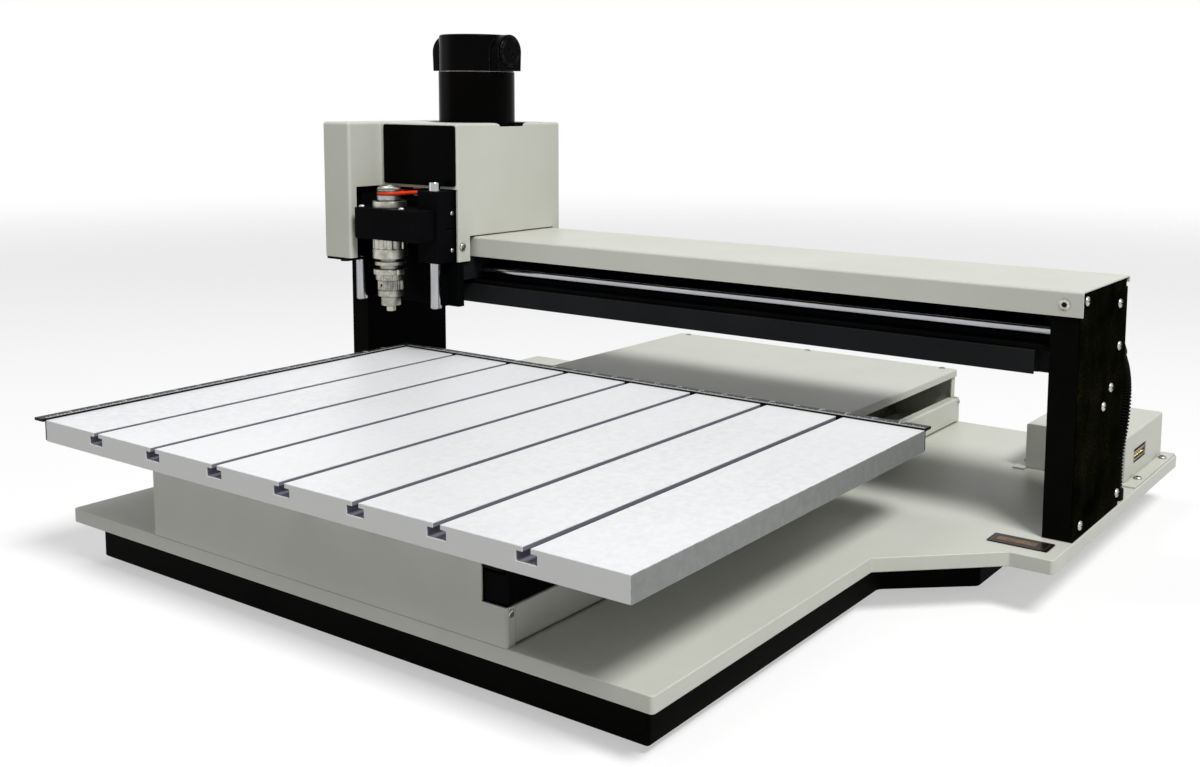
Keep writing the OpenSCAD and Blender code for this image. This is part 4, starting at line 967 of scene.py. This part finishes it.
def buildHousing():
    h, sheet, deck, over = housing, shared["sheet"], shared["deck"], shared["over"]

    def show(name, bm, *more):
        node = "housing_" + name.lower()
        showPiece("housing" + name, bm, "root", "cream_paint", [node], 0.2, extra=more)
    show("Front", housingEnd((-h["halfWidth"], h["openX"]), h["coverTop"], 1))

    inside = h["coverHalf"] - h["rearInset"]
    rearTop = h["coverTop"] - sheet - h["coverGap"]
    bm = housingEnd((-inside, inside), rearTop, -1)
    for side in (-1, 1):
        addBox(bm, mirrorSpan(side, inside, inside - sheet),
               (h["end"] - h["return"], h["end"] - sheet), (deck, rearTop))
    show("Rear", fused(bm))

    low, high = cadBoxOf("housing_sides")
    bm = bmesh.new()
    for side in (-1, 1):
        path = [(side * (high.x - h["sideLip"]), low.z), (side * high.x, low.z),
                (side * high.x, high.z), (side * (high.x - h["sideLip"]), high.z)]
        addProfile(bm, foldedOutline(path, h["bend"]), "y", (low.y, high.y))
    show("Sides", bm)

    low, high = cadBoxOf("housing_cover")
    lip = high.z - h["coverLip"]
    path = [(low.x, lip), (low.x, high.z), (high.x, high.z), (high.x, lip)]
    bm = bmesh.new()
    addProfile(bm, foldedOutline(path, h["bend"]), "y", (low.y, high.y))
    front = low.y + h["sealLength"]
    bm = cutAway(bm, boxes(((h["openX"], high.x + over), (low.y - over, front),
                            (lip - over, high.z + over))))
    older = set(bm.faces)
    x, half, rear = h["rib"]
    for side in (-1, 1):
        addBox(bm, mirrorSpan(side, x - half, x + half), (front, high.y - rear),
               (lip, high.z - sheet))
    half, rear, depth = h["crossRib"]
    addBox(bm, (-half, half), (high.y - rear, high.y - sheet - h["coverGap"]),
           (high.z - depth, high.z - sheet))
    # the ribs are painted black: painted shade for the dark inside of the housing
    paintNewest(bm, older, 1)
    show("Cover", bm, "black_paint")


buildHousing()
print("bed housing folded")


# Base pan: a folded black tray
basePan = {
    "outline": [(290, -353), (290, -34), (354.3, 21), (354.3, 353)],
    "inner": [(287.5, -350.5), (287.5, -32.85), (351.8, 22.15), (351.8, 350.5)],
    "corner": 3.0,
    "foldBelow": 2.0,
    "floor": 2.0,
    "above": 5.0,
}


def panBlock(half, z):
    bm = bmesh.new()
    addProfile(bm, half + [(-x, y) for x, y in half[::-1]], "z", z)
    return bm


def buildBasePan():
    low, high = cadBoxOf("base_pan")
    bm = panBlock(basePan["outline"], (low.z, high.z))
    roundEdges(bm, upright, basePan["corner"])
    roundEdges(bm, lambda mid, along: mid.z < low.z + 0.1, basePan["foldBelow"], 3)
    inside = (low.z + basePan["floor"], high.z + basePan["above"])
    bm = cutAway(bm, panBlock(basePan["inner"], inside))
    showPiece("basePan", bm, "root", "black_paint", ["base_pan"], 0.3)


buildBasePan()


# Connector box: a folded hood on two flanges, and the socket behind its cut-out
connectorBox = {
    "body": ((314.5, 409.2), (234.0, 361.0)),
    "flangeY": (226.0, 369.0),
    "flangeX": ((304.5, 316.0), (407.7, 421.2)),
    "top": 94.0,
    "bend": 2.0,
    "corner": 0.7,
    "plug": (282.4, 70.0),
    "cutOut": (20.5, 7.0),
}
socket = {
    "shell": (19.5, 4.2, 0.8),  # half its width and height, and its wall
    "corner": 1.6,
    "taper": 1.2,
    "behind": 1.4,
    "flange": (26.5, 9.0, 1.0, 2.5),  # half its width and height, thickness, corner
    "nutAt": 22.8,
    "nut": [(0, -3), (2.4, -3), (2.4, 0.7), (2.0, 1.1), (1.1, 1.1), (1.1, -1), (0, -1)],
    "pins": ((1, 13), (-1, 12)),
    "pinStep": (2.76, 1.42),
    "pin": [(0, -0.4), (0.55, -0.4), (0.55, 5.2), (0.3, 5.6), (0, 5.6)],
    "depth": 5.0,
    "floorHalf": 0.4,
}


def buildConnectorBox():
    c, sheet, deck, over = (connectorBox, *(shared[k] for k in ("sheet", "deck", "over")))
    (x0, x1), (y0, y1) = c["body"]
    bm = boxes(((x0, x1), (y0, y1), (deck, c["top"])))
    roundEdges(bm, lambda mid, along: mid.z > c["top"] - 0.1 and abs(along.y) > 0.9, c["bend"])
    roundEdges(bm, upright, c["corner"], 2)
    bm = cutAway(bm, boxes(((x0 + sheet, x1 - sheet), (y0 + sheet, y1 - sheet),
                            (deck - over, c["top"] - sheet))))
    (y, z), (across, tall) = c["plug"], c["cutOut"]
    bm = cutAway(bm, boxes(((x1 - sheet - over, x1 + over), (y - across, y + across),
                            (z - tall, z + tall))))
    for x in c["flangeX"]:
        addBox(bm, x, c["flangeY"], (deck, deck + sheet))
    showPiece("connectorHood", bm, "root", "cream_paint", ["connector_box"], 0.25)


def dBlock(wide, tall, x):
    # a block with the D shape of the socket, wider at its top
    taper = socket["taper"]
    corners = [Vector((-wide + taper, -tall)), Vector((wide - taper, -tall)),
               Vector((wide, tall)), Vector((-wide, tall))]
    points = []
    for i, p in enumerate(corners):
        a = (corners[i - 1] - p).normalized() * socket["corner"]
        b = (corners[(i + 1) % 4] - p).normalized() * socket["corner"]
        points += [tuple(p + a * (1 - k / 4) ** 2 + b * (k / 4) ** 2) for k in range(5)]
    bm = bmesh.new()
    addProfile(bm, points, "x", x)
    return bm


def buildSocket():
    s, hair, (low, high) = socket, shared["hair"], cadBoxOf("cable_connector")
    wide, tall, wall = s["shell"]
    back = high.x - s["behind"]
    inside = (back - s["depth"], high.x + shared["over"])
    bm = cutAway(dBlock(wide, tall, (low.x, high.x)), dBlock(wide - wall, tall - wall, inside))
    halfY, halfZ, thick, corner = s["flange"]
    flange = boxes(((back - thick, back), (-halfY, halfY), (-halfZ, halfZ)))
    roundEdges(flange, running("x"), corner)
    older = set(bm.faces)
    merged(bm, cutAway(flange, dBlock(wide + hair, tall + hair, inside)))
    paintNewest(bm, older, 2)
    for side in (-1, 1):
        addLathe(bm, s["nut"], (back, side * s["nutAt"], 0), (1, 0, 0), 6)
    older = set(bm.faces)
    across, rise = s["pinStep"]
    for row, count in s["pins"]:
        for k in range(count):
            addLathe(bm, s["pin"], (inside[0], (k - (count - 1) / 2) * across, row * rise),
                     (1, 0, 0), 12)
    paintNewest(bm, older, 1)
    older = set(bm.faces)
    merged(bm, dBlock(wide - wall - hair, tall - wall - hair,
                      (inside[0] - s["floorHalf"], inside[0] + s["floorHalf"])))
    paintNewest(bm, older, 2)
    showPiece("cableSocket", bm, "root", "plug_steel", ["cable_connector"],
              extra=("goldPins", "label_plastic"), lift=(0, *connectorBox["plug"]))


buildConnectorBox()
buildSocket()
print("connector box closed")


# Label plate: bare, with a bronze field inside a fine line
labelPlate = {"corner": 1.2, "border": 2.6, "line": 0.5, "step": 0.12, "field": (3.0, 9.0, 3.4)}


def buildLabelPlate():
    low, high = cadBoxOf("label_plate")
    c, line = labelPlate, labelPlate["line"]
    bm = boxes(((low.x, high.x), (low.y, high.y), (low.z, high.z - c["step"])))
    roundEdges(bm, upright, c["corner"])
    older = set(bm.faces)
    x0, x1 = low.x + c["border"], high.x - c["border"]
    y0, y1 = low.y + c["border"], high.y - c["border"]
    left, right, ends = c["field"]
    z = (high.z - c["step"] - shared["hair"], high.z - c["step"] / 2)
    for x, y in (((x0, x1), (y0, y0 + line)), ((x0, x1), (y1 - line, y1)),
                 ((x0, x0 + line), (y0, y1)), ((x1 - line, x1), (y0, y1)),
                 ((x0 + left, x1 - right), (y0 + ends, y1 - ends))):
        addBox(bm, x, y, z)
    paintNewest(bm, older, 1)
    showPiece("labelPlate", bm, "root", "label_plastic", ["label_plate"], extra=("bronzeField",))


buildLabelPlate()
print("label plate engraved with its frame only")


# Motor cap with its two ears, a light ring at its foot as a painted highlight, and the slotted
# brush caps
motorCap = {
    "earHalf": 18.5,
    "seam": 1.0,
    "topRim": 2.2,
    "rimSteps": 6,
    "earRim": 1.2,
    "earDrop": 0.02,
    "earSteps": 24,
    "recess": (9, 12, 20),  # its radius, its depth, its tool's length
    # the light ring round the cap's foot, a painted highlight of the housing's rim
    "ring": [(-1, 0), (0.8, 0), (0.8, 0.3), (-1, 0.9)],
    "brush": [(0, -11), (8.8, -11), (8.8, 0), (16.5, 0), (16.5, 1.2), (15.9, 1.8), (13.9, 1.8),
              (13.5, 1.2), (13.0, 1.2), (12.5, 1.8), (0, 1.8)],
    "slotTurn": -35,
    "slot": (11, 1.0, 0.8, 4),  # half its length and width, from and to along the axis
}


def buildMotorCap():
    low, high = cadBoxOf("motor_cap")
    c, top, ear, rim = motorCap, high.z, motorCap["earHalf"], motorCap["topRim"]
    x, y, out = (low.x + high.x) / 2, (low.y + high.y) / 2, (high.x - low.x) / 2
    r = (high.y - low.y) / 2
    bm = bmesh.new()
    bend = [math.pi / 2 * k / c["rimSteps"] for k in range(c["rimSteps"] + 1)]
    arch = [math.pi * k / c["earSteps"] for k in range(c["earSteps"] + 1)]
    middle = top - c["earDrop"] - ear
    addLathe(bm, [(0, low.z), (r, low.z)]
             + [(r - rim + rim * math.cos(a), top - rim + rim * math.sin(a)) for a in bend]
             + [(0, top)], segments=96)
    ears = bmesh.new()
    outline = [(-ear, low.z + c["seam"]), (ear, low.z + c["seam"])]
    outline += [(ear * math.cos(a), middle + ear * math.sin(a)) for a in arch]
    addProfile(ears, outline, "x", (-out, out))
    roundEdges(ears, lambda mid, along: abs(abs(mid.x) - out) < 0.1, c["earRim"], 3)
    merged(bm, ears)
    tool, caps = bmesh.new(), bmesh.new()
    radius, depth, length = c["recess"]
    for side in (-1, 1):
        addDisc(tool, radius, (0, length), (side * (out - depth), 0, top - ear), (side, 0, 0), 48)
        addLathe(caps, [(radius, out + along) for radius, along in c["brush"]],
                 (0, 0, top - ear), (side, 0, 0), 64)
    bm = cutAway(fused(bm), tool)
    # a light grey ring at the cap's foot: painted highlight of the motor housing's rim
    older = set(bm.faces)
    addLathe(bm, [(r + a, low.z + b) for a, b in c["ring"]], segments=96, closed=True)
    paintNewest(bm, older, 1)
    showPiece("motorCap", bm, "lift", "cap_plastic", ["motor_cap"], extra=("plug_steel",),
              lift=(x, y, 0))

    half, wide, first, last = c["slot"]
    tool = boxes(*((mirrorSpan(side, out + first, out + last), (-half, half), (-wide, wide))
                   for side in (1, -1)))
    bmesh.ops.rotate(tool, matrix=Matrix.Rotation(math.radians(c["slotTurn"]), 3, "X"),
                     verts=tool.verts)
    bmesh.ops.translate(tool, vec=(0, 0, top - ear), verts=tool.verts)
    showPiece("brushCaps", cutAway(caps, tool), "lift", "cap_plastic", ["brush_caps"],
              lift=(x, y, 0))


buildMotorCap()
print("motor capped")


# Bridge rails: bright round bars on dark ribs
bridgeRails = {"radius": 4.75, "chamfer": 0.5, "lowAt": 10.0, "rise": 23.5, "rib": 2.5,
               "sink": 0.6}


def buildRails():
    low, high = cadBoxOf("bridge_rails")
    b, y = bridgeRails, (low.y + high.y) / 2
    lowZ = low.z + b["lowAt"]
    highZ = lowZ + b["rise"]
    rails, ribs = bmesh.new(), bmesh.new()
    for z in (lowZ, highZ):
        addDisc(rails, b["radius"], (0, high.x - low.x), (low.x, y, z), (1, 0, 0), 48,
                b["chamfer"])
    inside = b["radius"] - b["sink"]
    for z in ((low.z, lowZ - inside), (highZ + inside, high.z)):
        addBox(ribs, (low.x, high.x), (y - b["rib"], y + b["rib"]), z)
    showPiece("bridgeRails", rails, "root", "rail_chrome", ["bridge_rails"])
    showPiece("railRibs", ribs, "root", "black_anodised", softness=0.3)


buildRails()
print("rails laid")


# Screws: domed heads with a cross or a hex recess, drawn one millimetre in radius and height
screwShape = {
    "dome": [(0, -0.4), (0.5, -0.4), (0.5, 0), (0.96, 0), (1, 0.08), (1, 0.3), (0.94, 0.55),
             (0.8, 0.77), (0.56, 0.92), (0.28, 0.98), (0, 1)],
    "segments": 28,
    "cross": (0.13, 0.62, 0.45),  # half the width and length of an arm, and its depth
    "hex": (0.52, 0.55),  # radius and depth
    "above": 2,
}
screwHeads = {  # radius, height and recess
    "columnSkin": (4.2, 2.8, "cross"),
    "bridgeLip": (4.6, 0.7, "hex"),
    "underPlate": (4.6, 4.0, "cross"),
    "boxFlange": (4.0, 2.4, "cross"),
    "coverTop": (3.4, 1.0, "cross"),
    "housingEnd": (2.6, 0.9, "hex"),
    "headSide": (4.2, 2.6, "cross"),
    "clampTop": (3.6, 3.0, "hex"),
    "blockSide": (2.4, 1.4, "hex"),
    "strip": (4.7, 4.2, "hex"),
}
screwPlaces = {
    "columnSkin": [(53, 246), (144, 233), (147, 196), (128, 163), (109, 150), (160.5, 63),
                   (59.3, 61)],
    "columnFace": 422.0,
    "under": [(-150, -360, 38), (0, -360, 38), (150, -360, 38)],
    "flange": [(x, y) for x in (309.5, 415.2) for y in (256, 344)],
    "lipSocketShade": (2.3, 0.45),
    "block": [(71.35, 14.7, 242), (71.35, 14.7, 281)],
    "clamp": [(-22.5, -23, 285), (37, -23, 285)],
    "stripLeft": [(-306, y, 123) for y in (-385, -201.8, -18.6)],
    "stripBack": [(x, 16.6, 123) for x in (-284.8, -10, 264.8)],
}


def makeHead(recess):
    bm, tool = bmesh.new(), bmesh.new()
    addLathe(bm, screwShape["dome"], segments=screwShape["segments"])
    if recess == "hex":
        radius, depth = screwShape[recess]
        addDisc(tool, radius, (1 - depth, screwShape["above"]), segments=6)
    else:
        wide, reach, depth = screwShape[recess]
        for x, y in ((wide, reach), (reach, wide)):
            addBox(tool, (-x, x), (-y, y), (1 - depth, screwShape["above"]))
    return cutAway(bm, tool)


screwMeshes = {recess: makeHead(recess) for recess in ("cross", "hex")}


def addScrews(bm, kind, direction, spots):
    radius, height, recess = screwHeads[kind]
    size = Matrix.Diagonal((radius, radius, height, 1))
    for spot in spots:
        one = screwMeshes[recess].copy()
        bmesh.ops.transform(one, matrix=towards(spot, direction) @ size, verts=one.verts)
        merged(bm, one)


def buildScrews():
    p, h, up = screwPlaces, housing, (0, 0, 1)
    case, head, lift, strips = (bmesh.new() for k in range(4))
    endY, endZ = h["endScrew"]
    headY, headZ = headCover["screw"][:2]
    for side in (-1, 1):
        out = (side, 0, 0)
        addScrews(case, "columnSkin", out, [(side * p["columnFace"], *k) for k in p["columnSkin"]])
        addScrews(case, "housingEnd", out, [(side * h["halfWidth"], end * endY, endZ)
                                            for end in (-1, 1)])
        addScrews(head, "headSide", out, [(side * shared["headHalf"], headY, headZ)])
        addScrews(lift, "blockSide", out, [(side * x, y, z) for x, y, z in p["block"]])
    addScrews(case, "bridgeLip", (0, -1, 0), lipScrewPlaces())
    flangeTop = shared["deck"] + shared["sheet"]
    addScrews(case, "boxFlange", up, [(x, y, flangeTop) for x, y in p["flange"]])
    addScrews(case, "coverTop", up, [(x, h["screwY"], h["coverTop"]) for x in h["screwX"]])
    older = set(case.faces)
    addScrews(case, "underPlate", (0, 0, -1), p["under"])
    paintNewest(case, older, 1)
    # black discs at the bottom of the lip screws' hex sockets: painted shade in the recesses
    older = set(case.faces)
    radius, depth = p["lipSocketShade"]
    for spot in lipScrewPlaces():
        addDisc(case, radius, (0, depth), spot, (0, -1, 0), 24)
    paintNewest(case, older, 2)
    addScrews(lift, "clampTop", up, p["clamp"])
    addScrews(strips, "strip", (-1, 0, 0), p["stripLeft"])
    addScrews(strips, "strip", (0, 1, 0), p["stripBack"])
    showPiece("caseScrews", case, "root", "screw_steel", ["case_screws"],
              extra=("cream_paint", "label_plastic"))
    showPiece("headScrews", head, "head", "screw_steel", ["head_screws"], lift=headAt)
    showPiece("clampScrews", lift, "lift", "screw_steel", ["clamp_screws"], lift=headAt)
    showPiece("stripScrews", strips, "bed", "scale_black", ["strip_screws"])


buildScrews()
print("screws driven")


# Lead screws; the ends are radius, from and to, measured from the start of the thread
leadScrews = {
    "bed": {"axis": (0, 1, 0), "start": (0, -339.8, 68), "length": 651.6, "radius": 8.0,
            "depth": 1.0, "pitch": 6.35,
            "ends": [(6.0, -11.2, 0.5), (6.0, 651.1, 670.0), (12.0, 669.8, 681.8)]},
    "bridge": {"axis": (1, 0, 0), "start": (-338.2, 100, 228.5), "length": 718.4, "radius": 6.0,
               "depth": 0.9, "pitch": 6.35,
               "ends": [(4.0, -6.2, 0.5), (2.5, -20.2, -5.0), (4.0, 717.9, 729.6)]},
    "lift": {"axis": (0, 0, 1), "start": (-361.5, 60, 258.5), "length": 63.0, "radius": 4.0,
             "depth": 0.6, "pitch": 2.5, "ends": [(2.5, 62.5, 77.5)]},
}
thread = {"segments": 20, "perTurn": 8, "starts": 2, "flank": 2.6, "chamfer": 0.5}


def buildLeadScrew(name, spec):
    t, pitch, length = thread, spec["pitch"], spec["length"]
    bm, count = bmesh.new(), int(length / pitch * t["perTurn"])

    def crest(radius, along, k):
        phase = (along / pitch - t["starts"] * k / t["segments"]) % 1
        return spec["depth"] * min(1, t["flank"] * min(phase, 1 - phase))
    low = spec["radius"] - spec["depth"]
    addLathe(bm, [(low, length * i / count) for i in range(count + 1)], spec["start"],
             spec["axis"], t["segments"], ripple=crest)
    for radius, first, last in spec["ends"]:
        addDisc(bm, radius, (first, last), spec["start"], spec["axis"], 40, t["chamfer"])
    showPiece(name + "LeadScrew", bm, name + "_screw", "ground_steel", [name + "_lead_screw"],
              sharp=50)


for screwName, screwSpec in leadScrews.items():
    buildLeadScrew(screwName, screwSpec)
print("lead screws cut")


# Guide rods with domed ends, on black webs
guideRods = {
    "x": 56.75,
    "y": 5.0,
    "z": (180.0, 314.0),
    "radius": 6.0,
    "chamfer": 0.8,
    "domeHeight": 1.6,
    "dome": [(1, 1), (0.9, 0.4), (0.6, 0.1), (0, 0)],  # as shares of radius and dome height
    "web": (3.0, 19.5, 181.5, 304.0),
}


def buildGuideRods():
    g, (low, high), r = guideRods, guideRods["z"], guideRods["radius"]
    rods, webs = bmesh.new(), bmesh.new()
    halfWeb, back, webLow, webHigh = g["web"]
    profile = [(0, low), (r - g["chamfer"], low), (r, low + g["chamfer"])]
    profile += [(r * out, high - g["domeHeight"] * down) for out, down in g["dome"]]
    for x in (-g["x"], g["x"]):
        addLathe(rods, profile, (x, g["y"], 0), segments=48)
        addBox(webs, (x - halfWeb, x + halfWeb), (g["y"], back), (webLow, webHigh))
    showPiece("guideRods", rods, "head", "rail_chrome", ["guide_rods"], lift=headAt)
    showPiece("rodWebs", webs, "head", "black_anodised", softness=0.4, lift=headAt)


buildGuideRods()


# Knurled knob on the spindle, and the micrometer barrel with its graduated tier
knob = {
    "profile": [(4.075, 299), (5, 299), (5, 304), (11.9, 304), (12.2, 304.3), (12.2, 305.9),
                (11.7, 306.4), (10.4, 307.8), (9.8, 308.1), (4.575, 308.1), (4.075, 307.6)],
    "teeth": 48,
    "rim": 11.6,
    "depth": 0.45,
}
barrel = {
    "below": [(8.45, 189.9), (13.1, 189.9), (13.5, 190.3), (13.5, 196), (12.7, 196.3),
              (12.7, 196.9)],
    "knurl": (13.5, 197.2, 0.8, 13),  # radius, bottom, step, rings
    "above": [(12.9, 207.4), (12.9, 207.8), (15.3, 207.8), (15.6, 208.1), (15.6, 213.6),
              (17.4, 213.8), (17.8, 214.2), (17.8, 218.8), (17.4, 219.2), (11.1, 219.2),
              (11.1, 207.7), (8.45, 207.7)],
    "grooves": [(13.5, 197, 4, 0.7), (17.8, 214, 8, 0.5)],  # radius, from, steps, depth
    "grooveSteps": 2,
    "segments": 128,
    "hole": (1.5, (10.5, 15.5), 202.2),
    "marks": 50,
    "mark": ((15.3, 15.64), (-0.14, 0.14), 208.6),
    "markLength": (4.2, 2.6),
}


def buildKnob():
    def teeth(radius, height, step):
        return -knob["depth"] if radius >= knob["rim"] and step % 2 else 0
    bm = bmesh.new()
    addLathe(bm, knob["profile"], segments=2 * knob["teeth"], closed=True, ripple=teeth)
    showPiece("toolKnob", bm, "spindle_knob", "bright_alloy", ["tool_knob"], lift=spindleAt)


def buildBarrel():
    b, bm, tool = barrel, bmesh.new(), bmesh.new()
    radius, bottom, step, count = b["knurl"]
    profile = b["below"] + [(radius, bottom + i * step) for i in range(count)] + b["above"]

    def grooves(radius, height, step):
        for out, low, steps, depth in b["grooves"]:
            if abs(radius - out) < 0.01 and height > low and step % steps < b["grooveSteps"]:
                return -depth
        return 0
    addLathe(bm, profile, segments=b["segments"], closed=True, ripple=grooves)
    radius, ends, z = b["hole"]
    addDisc(tool, radius, ends, (0, 0, z), (0, -1, 0), 20)
    bm = cutAway(bm, tool)
    older = set(bm.faces)
    x, y, z = b["mark"]
    for k in range(b["marks"]):
        mark = boxes((x, y, (z, z + b["markLength"][1 if k % 5 else 0])))
        bmesh.ops.rotate(mark, matrix=Matrix.Rotation(2 * math.pi * k / b["marks"], 3, "Z"),
                         verts=mark.verts)
        merged(bm, mark)
    paintNewest(bm, older, 1)
    showPiece("micrometerBarrel", bm, "micrometer", "bright_alloy", ["micrometer_barrel"],
              extra=("label_plastic",), lift=spindleAt)


buildKnob()
buildBarrel()
print("spindle dressed")


# Round drive belt
driveBelt = {"span": (26.5, 107.2), "radii": (10.9, 17.4), "thickness": 4.2, "z": 300.2,
             "arcSteps": 30, "runSteps": 24, "sides": 16}


def buildBelt():
    b, span, (small, large) = driveBelt, Vector(driveBelt["span"]), driveBelt["radii"]
    skew = math.asin((large - small) / span.length)
    arcs, path = [], []
    for centre, radius, first, sweep in ((0, small, math.pi / 2 + skew, math.pi - 2 * skew),
                                         (span.length, large, -math.pi / 2 - skew,
                                          math.pi + 2 * skew)):
        angles = [first + sweep * k / b["arcSteps"] for k in range(b["arcSteps"] + 1)]
        arcs.append([Vector((centre + radius * math.cos(a), radius * math.sin(a), 0))
                     for a in angles])
    for arc, following in zip(arcs, arcs[::-1]):
        path += arc + [arc[-1].lerp(following[0], k / b["runSteps"])
                       for k in range(1, b["runSteps"])]
    place = Matrix.Translation(Vector(spindleAt) + Vector((0, 0, b["z"])))
    place @= Matrix.Rotation(math.atan2(span.y, span.x), 4, "Z")
    bm = bmesh.new()
    addTube(bm, [place @ p for p in path], [b["thickness"] / 2] * len(path), b["sides"],
            closed=True, start=(0, 0, 1))
    showPiece("driveBelt", bm, "lift", "belt_urethane", ["drive_belt"], sharp=60)


buildBelt()


# Corrugated loom from the column down to the base plate
loom = {
    "start": (413.0, 176.0, 184.0),
    "spans": (15, 39, 33, 33, 15),
    "headings": (45, 45, 0, -29, 0, 0),
    "radius": 7.5,
    "ribs": 44,
    "rib": 1.4,
    "crestWidth": 1.35,
    "ringsPerRib": 6,
    "sides": 28,
}


def loomHeading(along):
    # the angle to the vertical, in radians, this far along the loom
    for i, span in enumerate(loom["spans"]):
        if along <= span or i == len(loom["spans"]) - 1:
            a, b = loom["headings"][i:i + 2]
            return math.radians(a + (b - a) * min(1, along / span))
        along -= span


def buildLoom():
    count = loom["ribs"] * loom["ringsPerRib"]
    step = sum(loom["spans"]) / count
    x, y, z = loom["start"]
    points, radii = [], []
    for i in range(count + 1):
        points.append((x, y, z))
        crest = 0.5 + 0.5 * math.cos(2 * math.pi * i / loom["ringsPerRib"])
        radii.append(loom["radius"] - loom["rib"] * (1 - min(1, loom["crestWidth"] * crest)))
        heading = loomHeading((i + 0.5) * step)
        y += step * math.sin(heading)
        z -= step * math.cos(heading)
    bm = bmesh.new()
    addTube(bm, points, radii, loom["sides"])
    showPiece("cableLoom", bm, "root", "loom_plastic", ["cable_loom"], sharp=80)


buildLoom()
print("belt and loom fitted")


# Scale strips: folded angles with a bead, inch graduations and numbers
scaleStrips = {
    "lip": (130.0, 132.5),
    "bead": 1.25,
    "beadSteps": 10,
    "legLow": 114.0,
    "leftX": (-316.0, -306.0, -304.8),
    "leftY": (-393.7, -391.0, 26.6),
    "backY": (15.4, 16.6, 26.6),
    "backX": (-304.3, 304.8),
    "inch": 25.4,
    "parts": 16,
    "runs": ((24, -304.8, 9.2), (16, -391.0, 9.0)),  # inches, start, numbers' distance
    "markGap": 0.7,
    "markWidth": 0.75,
    "markLift": 0.05,
    "lengths": {16: 6.2, 8: 4.8, 4: 3.9, 2: 3.1, 1: 2.3},
    "digit": 5.6,
}


def beadOutline(inner, outer, sign):
    # across the strip and up: a flat lip that ends in a round bead
    (low, high), r, steps = (scaleStrips[k] for k in ("lip", "bead", "beadSteps"))
    bend = [math.pi * k / steps for k in range(steps + 1)]
    return [(inner, low), (inner, high)] + [
        (outer + sign * r * math.sin(a), (low + high) / 2 + r * math.cos(a)) for a in bend]


def addDigits(bm, text, spot):
    curve = bpy.data.curves.new("digits", "FONT")
    curve.body = text
    curve.size = scaleStrips["digit"]
    curve.align_x = "CENTER"
    curve.align_y = "CENTER"
    curve.resolution_u = 3
    curve.extrude = scaleStrips["markLift"]
    digits = takeMesh(placed("digits", curve))
    bpy.data.curves.remove(curve)
    bmesh.ops.translate(digits, vec=spot, verts=digits.verts)
    bmesh.ops.remove_doubles(digits, verts=digits.verts, dist=0.0001)
    merged(bm, digits)


def buildStrips():
    s, bm = scaleStrips, bmesh.new()
    leftOut, leftLeg, leftIn = s["leftX"]
    y0, legY, y1 = s["leftY"]
    backIn, backLeg, backOut = s["backY"]
    (low, high), half, gap = s["lip"], s["markWidth"] / 2, s["markGap"]
    addProfile(bm, beadOutline(leftIn, leftOut, -1), "y", (y0, y1))
    addBox(bm, (leftLeg, leftIn), (legY, backLeg), (s["legLow"], low))
    addProfile(bm, beadOutline(backIn, backOut, 1), "x", s["backX"])
    addBox(bm, s["backX"], (backIn, backLeg), (s["legLow"], low))
    older = set(bm.faces)
    z = (high - shared["hair"], high + s["markLift"])
    for (inches, start, numberGap), edge, sign in zip(s["runs"], (backIn, leftIn), (1, -1)):
        for i in range(1, inches * s["parts"]):
            reach = max(v for k, v in s["lengths"].items() if i % k == 0)
            at = start + i * s["inch"] / s["parts"]
            along = (at - half, at + half)
            across = sorted((edge + sign * gap, edge + sign * (gap + reach)))
            addBox(bm, *((along, across) if sign > 0 else (across, along)), z)
        for i in range(1, inches):
            spot = (start + i * s["inch"], edge + sign * numberGap)[::sign]
            addDigits(bm, str(i), (*spot, high))
    paintNewest(bm, older, 1)
    showPiece("scaleStrips", bm, "bed", "scale_black", ["scale_strips"], extra=("whiteInk",))


buildStrips()
print("scales marked")
